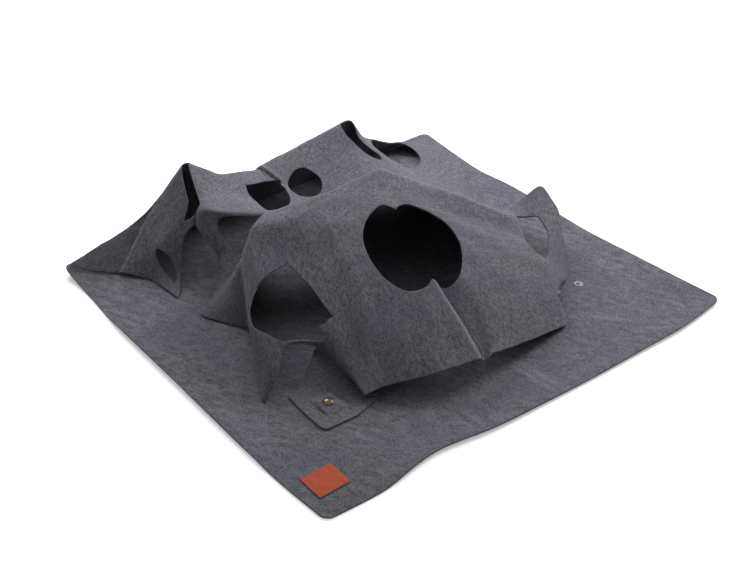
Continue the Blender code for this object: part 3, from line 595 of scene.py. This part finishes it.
def localFrame(u, v, upright):
    centre, along, across = [Vector(way) for way in sheetWays(u, v, sheet["bend"] / 2)]
    along.normalize()
    normal = along.cross(across).normalized()
    if upright:
        normal = Vector((0, 0, 1))
        centre.z = snapLevel
        along = (along - normal * along.dot(normal)).normalized()
    return centre, along, normal.cross(along), normal


leftSpot = (snap["leftShares"][0] * sheet["length"], snap["leftShares"][1] * sheet["depth"])
rightSpot = (snap["rightShares"][0] * sheet["length"], snap["rightShares"][1] * sheet["depth"])
snapFrames = [(*leftSpot, localFrame(*leftSpot, True)), (*rightSpot, localFrame(*rightSpot, False))]


def ripple(u, v):
    wave = (np.sin(61 * u + 23 * v) * np.sin(37 * v - 19 * u + 1.3)
            + 0.6 * np.sin(97 * u - 71 * v + 2.1) * np.sin(53 * u + 88 * v))
    return sheet["ripple"] * wave


# sharper folds, each given by a line on the flat sheet: the felt to the left of it is raised or
# sunk over a short ramp, or with a ramp below zero the line itself is, as the lip of an arch
pleatSettings = {"wayStep": 0.012, "rowStep": 0.0045, "rowGap": 0.0042,
                 "rowShares": (-0.35, 0.0, 0.33, 0.67, 1.0, 1.35)}
pleats = {
    "frontCrease": {"line": ((0.528, 0.165), (0.586, -0.010)), "rise": -0.017, "ramp": 0.012,
                    "reach": 0.085, "ends": (0.020, 0.001)},
    "cornerPleat": {"line": ((0.100, 0.899), (-0.010, 0.908)), "rise": 0.007, "ramp": 0.004,
                    "reach": 0.090, "ends": (0.020, 0.001)},
    "tonguePleat": {"line": ((0.430, 0.826), (0.345, 0.925)), "rise": -0.007, "ramp": 0.004,
                    "reach": 0.060, "ends": (0.004, 0.020)},
    "leftArchLip": {"line": ((0.163, 0.752), (0.150, 0.664)), "rise": -0.009, "ramp": -0.026,
                    "reach": 0.026, "ends": (0.010, 0.016)},
    "leftArchFoot": {"line": ((0.150, 0.664), (0.055, 0.622)), "rise": -0.007, "ramp": -0.022,
                     "reach": 0.022, "ends": (0.016, 0.020)},
    "frontArchLip": {"line": ((0.225, 0.158), (0.060, 0.136)), "rise": -0.006, "ramp": -0.022,
                     "reach": 0.022, "ends": (0.016, 0.030)},
}


def pleatShape(pleat, u, v):
    along, aside, span = alongLine(pleat["line"], u, v)
    first, last = pleat["ends"]
    shape = smoothStep((along + first) / first) * smoothStep((span + last - along) / last)
    if pleat["ramp"] < 0:
        return shape * smoothStep(1 - abs(aside) / pleat["reach"])
    return shape * smoothStep(aside / pleat["ramp"]) * smoothStep(1 - aside / pleat["reach"])


def pleatWay(pleat):
    middle, along, across = sheetWays(*np.mean(pleat["line"], axis=0), pleatSettings["wayStep"])
    way = np.cross(along, across)
    return way / np.linalg.norm(way)


def draped(u, v):
    place = bent(u, v, sheet["crisp"])
    height = place[:, 2] - restLevel
    lift = smoothStep((height - sheet["rippleFrom"]) / sheet["rippleRamp"])
    raised = smoothStep(height / sheet["pleatRamp"])
    for pleat in pleats.values():
        share = pleatShape(pleat, u, v) * pleat["rise"]
        if pleat["rise"] < 0:
            share = share * raised
        place += share[:, None] * pleatWay(pleat)
    for centreU, centreV, (centre, along, across, normal) in snapFrames:
        away = np.maximum(abs(u - centreU), abs(v - centreV))
        share = smoothStep((snap["ease"] - away) / (snap["ease"] - snap["flat"]))
        plane = (np.array(centre) + np.outer(u - centreU, np.array(along))
                 + np.outer(v - centreV, np.array(across)))
        place = place * (1 - share[:, None]) + plane * share[:, None]
        lift *= 1 - share
    place[:, 2] += curl(place[:, 0], place[:, 1]) + lift * ripple(u, v)
    return place


def drapedAround(places, step):
    # the draped felt's middle with its normal, and the mean of four places a step away
    u = np.clip(places[:, 0], 0, sheet["length"])
    v = np.clip(places[:, 1], 0, sheet["depth"])
    left, right = draped(np.maximum(u - step, 0), v), draped(np.minimum(u + step, sheet["length"]), v)
    near, far = draped(u, np.maximum(v - step, 0)), draped(u, np.minimum(v + step, sheet["depth"]))
    normal = np.cross(right - left, far - near)
    normal /= np.linalg.norm(normal, axis=1)[:, None]
    return draped(u, v), normal, (left + right + near + far) / 4


def drapedSlab(places):
    middle, normal, around = drapedAround(places, sheet["bend"] / 4)
    return middle + normal * places[:, 2:3]


# the upper side is painted paler where it bulges by more than the least over a step, partly as wear and
# partly as a painted highlight where the bulge catches the light
wearAndHighlightSettings = {"step": 0.008, "least": 0.0003, "ramp": 0.0014}


def bulgeWearAndHighlight(places):
    middle, normal, around = drapedAround(places, wearAndHighlightSettings["step"])
    bulge = ((middle - around) * normal).sum(1)
    return np.where(places[:, 2] > 0, smoothStep((bulge - wearAndHighlightSettings["least"]) / wearAndHighlightSettings["ramp"]), 0)


def circleLine(centre, radius, count):
    turn = np.arange(count) / count * 2 * pi
    return np.stack([centre[0] + radius * np.cos(turn), centre[1] + radius * np.sin(turn)], 1)


# the mat as felt: post holes, washer recesses, low creases and loose edges that stand up a little
creaseSettings = {"height": 0.0016, "width": 0.0055, "end": 0.03,
                  "lines": (((0.010, -0.343), (0.020, -0.466)), ((0.029, -0.352), (0.036, -0.458)),
                            ((0.300, 0.100), (0.352, -0.020)), ((0.230, -0.330), (0.292, -0.400)))}


def matCreases(x, y):
    rise = np.zeros(len(x))
    end = creaseSettings["end"]
    for line in creaseSettings["lines"]:
        along, aside, span = alongLine(line, x, y)
        ends = smoothStep(along / end) * smoothStep((span + end - along) / (2 * end))
        rise += creaseSettings["height"] * np.exp(-(aside / creaseSettings["width"]) ** 2) * ends
    return rise.clip(0, creaseSettings["height"])


# how far the mat's loose edges stand up; the lift starts and ends along them at a place and over a ramp,
# so that the mat stays flat under the label
liftSettings = {"height": 0.0058, "reach": 0.060, "frontStart": (-0.40, 0.08), "leftStart": (-0.32, 0.06),
                "leftEnd": (0.28, 0.08), "rightEnd": (0.24, 0.10), "waves": (9, 7, 0.6), "waveShare": 0.25}


def edgeLift(x, y):
    across, along = (x / mat["length"] + 0.5).clip(0, 1), (y / mat["depth"] + 0.5).clip(0, 1)
    gaps = (y + mat["depth"] / 2 + bow("front", across), x + mat["length"] / 2 + bow("left", along),
            mat["length"] / 2 + bow("right", along) - x)
    front, left, right = [smoothStep(1 - gap.clip(0) / liftSettings["reach"]) for gap in gaps]
    start, ramp = liftSettings["frontStart"]
    front = front * smoothStep((x - start) / ramp)
    start, ramp = liftSettings["leftStart"]
    end, endRamp = liftSettings["leftEnd"]
    left = left * smoothStep((y - start) / ramp) * smoothStep((end - y) / endRamp)
    end, endRamp = liftSettings["rightEnd"]
    right = right * smoothStep((end - y) / endRamp)
    waveX, waveY, phase = liftSettings["waves"]
    wave = 1 - liftSettings["waveShare"] * (1 - np.sin(waveX * x - waveY * y + phase))
    return liftSettings["height"] * np.maximum(np.maximum(front, left), right) * wave


def placedMat(places):
    x, y, height = places[:, 0], places[:, 1], places[:, 2]
    level = felt / 2 + height + curl(x, y) + edgeLift(x, y)
    top = height > 0
    level += np.where(top, matCreases(x, y), 0)
    for px, py in (leftStudPlace, rightStudPlace):
        under = (np.hypot(x - px, y - py) < snap["washer"] + 1.5 * layerGap) & ~top
        level = np.where(under, 2 * layerGap + snap["washerHeight"], level)
    return np.c_[x, y, level]


leftStudPlace = (snapFrames[0][2][0].x, snapFrames[0][2][0].y)
outline = roundedSquare(mat["length"], mat["depth"], mat["corner"], mat["rimStep"])
outline = matPoint(outline[:, 0] / mat["length"], outline[:, 1] / mat["depth"])
postHoles, washerRings = [], []
for spot in (leftStudPlace, rightStudPlace):
    postHoles.append(circleLine(spot, snap["post"] + layerGap, 16))
    washerRings.append(circleLine(spot, snap["washer"] + layerGap, 40))
    washerRings.append(circleLine(spot, snap["washer"] + 2 * layerGap, 40))
places, faces, rimFaces = feltSlab([outline] + postHoles, None, mat["spacing"], felt, mat["edge"],
                                   washerRings)
carried = placedMat(places)
# the tops of the mat's creases are painted paler: partly wear, partly a painted highlight along the raised
# lines
matWearAndHighlight = matCreases(places[:, 0], places[:, 1]) / creaseSettings["height"] * (places[:, 2] > 0)
feltMat = addPiece("feltMat", feltMesh("feltMat", places, faces, carried, matWearAndHighlight), matFelt)
matFibres = fibrePiece("matFibres", rimMesh("matRim", rimFaces, carried), matFelt)
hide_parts("base_mat")
for piece in (feltMat, matFibres):
    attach(piece, "mat")
print("flat mat made")


# the pierced sheet: oval holes as centre, half width and half depth in shares of the sheet
ovals = {"frontWindowLeft": (0.526, 0.2054, 0.084, 0.0922),
         "frontWindowRight": (0.613, 0.2273, 0.075, 0.1065),
         "valleyHole": (0.292, 0.6305, 0.095, 0.0609),
         "backRound": (0.510, 0.7665, 0.038, 0.0590),
         "backRight": (0.805, 0.8416, 0.081, 0.0542),
         "sideArch": (0.906, 0.3281, 0.037, 0.1027)}
# the other holes: outlines in the same shares, and which of their points are sharp
holeLines = {
    "halfMoon": ((0, 2, 3, 4, 5), (
        (0.2789, 0.2922), (0.3027, 0.2353), (0.3146, 0.1676), (0.2811, 0.1892), (0.2800, 0.1588),
        (0.2573, 0.1618), (0.2249, 0.1882), (0.1946, 0.2108), (0.1276, 0.2598), (0.1059, 0.2824),
        (0.1168, 0.2990), (0.1676, 0.3029), (0.2292, 0.3000))),
    "leaf": ((0, 3), (
        (0.3568, 0.8294), (0.3914, 0.8353), (0.4270, 0.8304), (0.4573, 0.8176), (0.4627, 0.7794),
        (0.4519, 0.7206), (0.4270, 0.7010), (0.3946, 0.7108), (0.3784, 0.7598))),
    "leftSlit": ((0, 4, 10), (
        (0.2022, 0.8843), (0.1968, 0.8676), (0.1935, 0.8333), (0.1903, 0.8059), (0.1686, 0.7814),
        (0.1859, 0.7520), (0.2054, 0.7373), (0.2162, 0.7500), (0.2162, 0.8255), (0.2162, 0.8706),
        (0.2195, 0.8843))),
    "leftPipe": ((0,), (
        (0.0411, 0.7373), (0.0541, 0.7725), (0.0778, 0.7990), (0.0973, 0.8039), (0.1049, 0.7843),
        (0.0995, 0.7598), (0.0714, 0.7382))),
    "rightSlit": ((0, 9), (
        (0.6119, 0.8824), (0.6141, 0.8676), (0.6292, 0.8284), (0.6616, 0.7922), (0.6919, 0.7745),
        (0.7070, 0.7843), (0.7005, 0.8059), (0.6616, 0.8333), (0.6584, 0.8676), (0.6573, 0.8824))),
    "leftArch": ((0, 11), (
        (-0.0108, 0.7078), (0.0130, 0.7078), (0.0627, 0.7275), (0.1081, 0.7402), (0.1405, 0.7529),
        (0.1622, 0.7500), (0.1762, 0.7333), (0.1730, 0.6765), (0.1568, 0.6520), (0.1243, 0.6353),
        (0.0649, 0.6157), (-0.0108, 0.6098))),
    "frontArch": ((0, 11, 8), (
        (-0.0108, 0.1353), (0.0649, 0.1353), (0.1351, 0.1402), (0.1838, 0.1441), (0.2216, 0.1490),
        (0.2400, 0.1569), (0.2249, 0.1725), (0.2022, 0.1941), (0.1859, 0.2020), (0.1168, 0.1941),
        (0.0541, 0.1922), (-0.0108, 0.1961))),
}


def ovalLine(centreX, centreY, halfX, halfY):
    turn = np.arange(96) / 96 * 2 * pi
    return np.stack([(centreX + halfX * np.cos(turn)) * sheet["length"],
                     (centreY + halfY * np.sin(turn)) * sheet["depth"]], 1)


def joinedOvals(one, two):
    # one outline round two ovals that run into each other
    keepOne, keepTwo = one[~insideOf(one, two)], two[~insideOf(two, one)]
    centre = (one.mean(0) + two.mean(0)) / 2
    both = np.vstack([keepOne, keepTwo])
    turn = np.arctan2(both[:, 1] - centre[1], both[:, 0] - centre[0])
    return both[np.argsort(turn)]


def shapedLine(name):
    sharp, points = holeLines[name]
    size = np.array([sheet["length"], sheet["depth"]])
    return closedLine(np.array(points) * size, sharp, sheet["holeStep"])


def edgeNotch(name):
    # the part of an arch's outline that lies on the sheet, from its higher end on the edge
    line = shapedLine(name)
    inner = line[line[:, 0] > sheet["notchFrom"]]
    if inner[0][1] < inner[-1][1]:
        inner = inner[::-1]
    return np.vstack([[(0.0, inner[0][1])], inner, [(0.0, inner[-1][1])]])


holes = [joinedOvals(ovalLine(*ovals["frontWindowLeft"]), ovalLine(*ovals["frontWindowRight"]))]
holes += [ovalLine(*shares) for name, shares in ovals.items() if not name.startswith("frontWindow")]
holes += [shapedLine(name) for name in holeLines if not name.endswith("Arch")]
leftNotch, frontNotch = edgeNotch("leftArch"), edgeNotch("frontArch")
stemHole = snap["stem"] + layerGap
width, depth, corner = sheet["length"], sheet["depth"], sheet["corner"]
tabWidth, tabDepth = sheet["tabLength"], sheet["tabDepth"]
frontLeft, frontRight, backRight, backLeft = cornerArcs(width, depth, corner)


def stretch(one, two):
    return evenStretch(one, two, sheet["rimStep"])


border = np.vstack([
    stretch((tabWidth, 0), (width - corner, 0)), frontRight,
    stretch((width, corner), (width, depth - corner)), backRight,
    stretch((width - corner, depth), (corner, depth)), backLeft,
    stretch((0, depth - corner), leftNotch[0]), leftNotch[:-1],
    stretch(leftNotch[-1], frontNotch[0]), frontNotch[:-1],
    stretch(frontNotch[-1], (0, tabDepth)),
    stretch((0, tabDepth), (tabWidth, tabDepth)), stretch((tabWidth, tabDepth), (tabWidth, 0))])
tabBorder = np.vstack([
    frontLeft, stretch((corner, 0), (tabWidth, 0)), stretch((tabWidth, 0), (tabWidth, tabDepth)),
    stretch((tabWidth, tabDepth), (0, tabDepth)), stretch((0, tabDepth), (0, corner))])


def onSeam(middle):
    alongSide = (abs(middle[:, 0] - tabWidth) < 1e-6) & (middle[:, 1] < tabDepth)
    acrossRoot = (abs(middle[:, 1] - tabDepth) < 1e-6) & (middle[:, 0] < tabWidth)
    return alongSide | acrossRoot


def pleatRows(rims):
    # rows of points along each listed fold, so that its step stays crisp
    rows = []
    for pleat in pleats.values():
        if pleat["ramp"] < 0:
            continue
        first, last = np.array(pleat["line"])
        way = (last - first) / np.linalg.norm(last - first)
        for share in pleatSettings["rowShares"]:
            row = evenStretch(first, last, pleatSettings["rowStep"])
            row += share * pleat["ramp"] * np.array([-way[1], way[0]])
            keep = insideRims(row, rims) & (gapTo(row, rims) > pleatSettings["rowGap"])
            if keep.any():
                rows.append(row[keep])
    return rows


def feltPieces(name, rims, material):
    places, faces, rimFaces = feltSlab(rims, onSeam, sheet["spacing"], felt, sheet["edge"],
                                       pleatRows(rims))
    carried = drapedSlab(places)
    # the sheet's bulges are painted paler: partly wear, partly a painted highlight
    piece = addPiece(name, feltMesh(name, places, faces, carried, bulgeWearAndHighlight(places)), material)
    fibres = fibrePiece(name + "Fibres", rimMesh(name + "Rim", rimFaces, carried), material)
    area = signedArea(oriented(rims[0], False)) - sum(abs(signedArea(rim)) for rim in rims[1:])
    return piece, fibres, area


piercedSheet, sheetFibres, sheetArea = feltPieces(
    "piercedSheet", [border] + holes + [circleLine(rightSpot, stemHole, 16)], sheetFelt)
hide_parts("upper_sheet")
for piece in (piercedSheet, sheetFibres):
    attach(piece, "mat")
print("pierced sheet made")

frontTab, tabFibres, tabArea = feltPieces(
    "frontTab", [tabBorder, circleLine(leftSpot, stemHole, 16)], sheetFelt)
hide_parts("front_tab")
rootEnds = draped(np.array([0.0, tabWidth]), np.array([tabDepth, tabDepth]))
for piece in (frontTab, tabFibres):
    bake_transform(piece)
print("front tab made")


# turned metal pieces of the snaps
def turnedMesh(name, profile, place, steps=64):
    bm = bmesh.new()
    verts = [bm.verts.new((radius, 0, height)) for radius, height in profile]
    edges = [bm.edges.new(pair) for pair in zip(verts, verts[1:] + verts[:1])
             if pair[0].co.x > 1e-9 or pair[1].co.x > 1e-9]
    bmesh.ops.spin(bm, geom=verts + edges, cent=(0, 0, 0), axis=(0, 0, 1), angle=2 * pi, steps=steps)
    bmesh.ops.remove_doubles(bm, verts=bm.verts, dist=1e-6)
    bmesh.ops.recalc_face_normals(bm, faces=bm.faces)
    mesh = bpy.data.meshes.new(name)
    bm.to_mesh(mesh)
    bm.free()
    mesh.transform(place)
    mesh.shade_smooth()
    mesh.set_sharp_from_angle(angle=radians(38))
    return mesh


metalGrain = {"stain": 420.0, "scuff": 2600.0, "bump": 0.0001}
brassLook = {"dark": (0.040, 0.032, 0.025), "light": (0.150, 0.120, 0.085), "roughness": 0.30}
steelLook = {"dark": (0.110, 0.112, 0.120), "light": (0.190, 0.192, 0.204), "roughness": 0.50}


def metalMaterial(name, look):
    material, tree, shader = newMaterial(name, {"Metallic": 1.0})
    spot = addNode(tree, "ShaderNodeTexCoord").outputs["Object"]
    stain, scuff = grain(tree, spot, metalGrain["stain"], 3.0), grain(tree, spot, metalGrain["scuff"], 2.0)
    bump = addNode(tree, "ShaderNodeBump",
                   {"Height": scuff, "Strength": 0.15, "Distance": metalGrain["bump"]})
    fill(tree, shader, {
        "Base Color": blendColour(tree, ranged(tree, stain, 0.35, 0.68), look["dark"], look["light"]),
        "Roughness": ranged(tree, scuff, 0.3, 0.7, look["roughness"] - 0.08, look["roughness"] + 0.12),
        "Normal": bump.outputs["Normal"]})
    return material


antiqueBrass = metalMaterial("antiqueBrass", brassLook)
snapSteel = metalMaterial("snapSteel", steelLook)

capBase = felt / 2 + layerGap
stemEnd = -felt / 2 - layerGap - snap["plate"]
dome = []
for turn in (k / 12 * pi / 2 for k in range(13)):
    dome.append((snap["cap"] * 0.93 * sin(turn),
                 capBase + snap["lip"] + (snap["capHeight"] - snap["lip"]) * cos(turn)))
lip = [(snap["cap"] * 0.965, capBase + 0.00105), (snap["cap"] * 0.99, capBase + snap["lip"]),
       (snap["cap"], capBase + 0.00055), (snap["cap"] * 0.99, capBase + 0.0002),
       (snap["cap"] * 0.965, capBase)]
capProfile = dome + lip + [(snap["stem"], capBase), (snap["stem"], stemEnd), (0.0, stemEnd)]

socketTop = -felt / 2 - layerGap
socketFoot = socketTop - snap["socketHeight"]
outer, inner = snap["socket"], snap["cavity"]
socketProfile = [(stemHole, socketTop), (outer - 0.0009, socketTop), (outer - 0.0002, socketTop - 0.0002),
                 (outer, socketTop - 0.0007), (outer - 0.0006, socketTop - 0.0012),
                 (outer - 0.0008, socketFoot + 0.0008), (outer - 0.0012, socketFoot + 0.0002),
                 (outer - 0.0019, socketFoot), (inner + 0.0005, socketFoot),
                 (inner + 0.0001, socketFoot + 0.0002), (inner - 0.0002, socketFoot + 0.0006),
                 (inner + 0.0001, socketFoot + 0.0011), (inner + 0.0003, socketTop - snap["plate"]),
                 (stemHole, socketTop - snap["plate"])]
flangeTop = studBase + snap["flangeHeight"]
knobTop = flangeTop + snap["knobHeight"]
postHole = snap["post"] + layerGap
studProfile = [(postHole, knobTop - 0.0002), (postHole + 0.0003, knobTop), (snap["knob"] - 0.0006, knobTop),
               (snap["knob"] - 0.0002, knobTop - 0.00015), (snap["knob"], knobTop - 0.0006),
               (snap["knob"] - 0.0001, knobTop - 0.0009), (snap["waist"], flangeTop + 0.0005),
               (snap["waist"] + 0.0002, flangeTop + 0.0001), (snap["waist"] + 0.0006, flangeTop - 0.0001),
               (snap["flange"] - 0.0022, flangeTop - 0.0001), (snap["flange"] - 0.0015, flangeTop + 0.0001),
               (snap["flange"] - 0.0006, flangeTop), (snap["flange"] - 0.0001, flangeTop - 0.0003),
               (snap["flange"], studBase + 0.0004), (snap["flange"] - 0.0002, studBase),
               (postHole, studBase)]

feltFrames = []
for centreU, centreV, (centre, along, across, normal) in snapFrames:
    axes = Matrix((along, across, normal)).transposed().to_4x4()
    feltFrames.append(Matrix.Translation(centre) @ axes)
studFrames = [Matrix.Translation((*place, 0)) for place in (leftStudPlace, rightStudPlace)]
for side, body, feltFrame, studFrame in zip(("left", "right"), ("tab", "mat"), feltFrames, studFrames):
    cap, socket, stud = [
        addPiece(side + name, turnedMesh(side + name, profile, place), material)
        for name, profile, place, material in (("CapDome", capProfile, feltFrame, antiqueBrass),
                                               ("SocketRing", socketProfile, feltFrame, antiqueBrass),
                                               ("StudKnob", studProfile, studFrame, snapSteel))]
    for piece, node, carrier, slot in ((cap, "_cap", body, "cap_brass"),
                                       (socket, "_socket", body, "cap_brass"),
                                       (stud, "_stud", "mat", "stud_steel")):
        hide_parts(side + node)
        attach(piece, carrier)
    post = bpy.data.objects[side + "_post"]
    for materialSlot in post.material_slots:
        materialSlot.material = snapSteel
print("snaps made")


# the leather label, bare, with pressed edges and a slightly uneven lie
label = {"length": 0.066, "depth": 0.058, "thickness": 0.0016, "corner": 0.003, "edge": 0.0004,
         "placeShares": (-0.453, -0.430), "spacing": 0.0016, "crown": 0.00025, "crownRamp": 0.006,
         "rubbedRamp": 0.0022, "dark": (0.330, 0.042, 0.013), "light": (0.430, 0.068, 0.023),
         "poreColour": (0.200, 0.036, 0.014), "rubbedColour": (0.235, 0.048, 0.020),
         "pore": 900.0, "mottle": 70.0, "wrinkle": 260.0, "bump": 0.0003}


def leatherMaterial():
    material, tree, shader = newMaterial("labelLeather", {"Specular IOR Level": 0.15})
    spot = addNode(tree, "ShaderNodeUVMap", uv_map="felt").outputs["UV"]
    pores = addNode(tree, "ShaderNodeTexVoronoi", {"Vector": spot, "Scale": label["pore"]},
                    feature="DISTANCE_TO_EDGE").outputs["Distance"]
    mottle = grain(tree, spot, label["mottle"], 4.0)
    wrinkle = grain(tree, spot, label["wrinkle"], 3.0, distortion=1.2)
    rubbed = addNode(tree, "ShaderNodeVertexColor", layer_name="wearAndHighlightShare").outputs["Color"]
    colour = blendColour(tree, ranged(tree, mottle, 0.3, 0.7), label["dark"], label["light"])
    colour = blendColour(tree, ranged(tree, pores, 0.0, 0.12, 0.35, 0.0), colour, label["poreColour"])
    colour = blendColour(tree, maths(tree, "MULTIPLY", rubbed, 0.6), colour, label["rubbedColour"])
    height = maths(tree, "ADD", ranged(tree, pores, 0.0, 0.2), maths(tree, "MULTIPLY", wrinkle, 1.4))
    bump = addNode(tree, "ShaderNodeBump", {"Height": height, "Strength": 0.5, "Distance": label["bump"]})
    fill(tree, shader, {"Base Color": colour, "Roughness": ranged(tree, mottle, 0.3, 0.7, 0.48, 0.66),
                        "Normal": bump.outputs["Normal"]})
    return material


labelLine = roundedSquare(label["length"], label["depth"], label["corner"], label["spacing"])
places, faces, rimFaces = feltSlab([labelLine], None, label["spacing"], label["thickness"], label["edge"])
x, y = places[:, 0], places[:, 1]
edgeGap = np.minimum(np.minimum(x, label["length"] - x), np.minimum(y, label["depth"] - y))
crown = label["crown"] * smoothStep(edgeGap / label["crownRamp"]) * (1 + 0.4 * np.sin(210 * x + 130 * y))
carried = places - np.array([label["length"] / 2, label["depth"] / 2, 0])
carried[:, 2] += np.where(places[:, 2] > 0, crown, 0)
placeX, placeY = label["placeShares"]
carried += np.array([placeX * mat["length"], placeY * mat["depth"], studBase + label["thickness"] / 2])
rubbed = 1 - smoothStep(edgeGap / label["rubbedRamp"])
leatherLabel = addPiece("leatherLabel", feltMesh("leatherLabel", places, faces, carried, rubbed),
                        leatherMaterial())
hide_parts("label")
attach(leatherLabel, "mat")
print("label made")


# floor and light: two soft lamps, a sky that is brightest overhead, and a white floor
light = {"key": 32.0, "keyPlace": (0.30, 1.50, 1.20), "side": 35.0, "sidePlace": (1.55, -0.05, 1.25),
         "lampSize": 1.1, "aim": (0.0, 0.0, 0.05), "zenith": 0.74, "horizon": 0.01, "skyPower": 2.4,
         "floorGlow": 0.36, "farGlow": 0.95, "farReach": (1.1, 2.6), "floorColour": 0.92,
         "floorSize": 12, "floorLevel": -0.0005}


def areaLamp(name, power, place):
    lamp = bpy.data.lights.new(name, "AREA")
    lamp.energy = power
    lamp.shape = "DISK"
    lamp.size = light["lampSize"]
    addAimed(name, lamp, place, light["aim"])


areaLamp("keyLight", light["key"], light["keyPlace"])
areaLamp("sideLight", light["side"], light["sidePlace"])


def whiteRays(tree):
    # the white of world and floor is for the camera, and for what metal mirrors or clear parts pass
    rays = addNode(tree, "ShaderNodeLightPath").outputs
    return maths(tree, "MAXIMUM", rays["Is Camera Ray"],
                 maths(tree, "MAXIMUM", rays["Is Glossy Ray"], rays["Is Transmission Ray"]))


world = bpy.data.worlds.new("studio")
scene.world = world
world.use_nodes = True
tree = world.node_tree
way = addNode(tree, "ShaderNodeTexCoord").outputs["Generated"]
upward = addNode(tree, "ShaderNodeSeparateXYZ", {0: way}).outputs["Z"]
rising = maths(tree, "POWER", ranged(tree, upward, 0.0, 1.0), light["skyPower"])
glow = ranged(tree, rising, 0.0, 1.0, light["horizon"], light["zenith"])
strength = maths(tree, "MAXIMUM", whiteRays(tree), glow)
fill(tree, tree.nodes["Background"], {"Color": (1, 1, 1, 1), "Strength": strength})

floorMaterial = bpy.data.materials.new("studioFloor")
floorMaterial.use_nodes = True
tree = floorMaterial.node_tree
tree.nodes.remove(tree.nodes["Principled BSDF"])
paint = addNode(tree, "ShaderNodeBsdfDiffuse", {"Color": (*[light["floorColour"]] * 3, 1)})
away = addNode(tree, "ShaderNodeVectorMath", {0: addNode(tree, "ShaderNodeTexCoord").outputs["Object"]},
               operation="LENGTH").outputs["Value"]
glow = ranged(tree, away, *light["farReach"], light["floorGlow"], light["farGlow"])
glow = addNode(tree, "ShaderNodeEmission",
               {"Color": (1, 1, 1, 1), "Strength": maths(tree, "MULTIPLY", whiteRays(tree), glow)})
both = addNode(tree, "ShaderNodeAddShader", {0: paint.outputs[0], 1: glow.outputs[0]})
fill(tree, tree.nodes["Material Output"], {"Surface": both.outputs[0]})
bm = bmesh.new()
bmesh.ops.create_grid(bm, x_segments=1, y_segments=1, size=light["floorSize"])
floorMesh = bpy.data.meshes.new("studioFloor")
bm.to_mesh(floorMesh)
bm.free()
floorMesh.materials.append(floorMaterial)
studioFloor = bpy.data.objects.new("studioFloor", floorMesh)
studioFloor.location.z = light["floorLevel"]
scene.collection.objects.link(studioFloor)
scene.view_settings.view_transform = "Standard"
print("floor and light made")

bpy.context.view_layer.update()
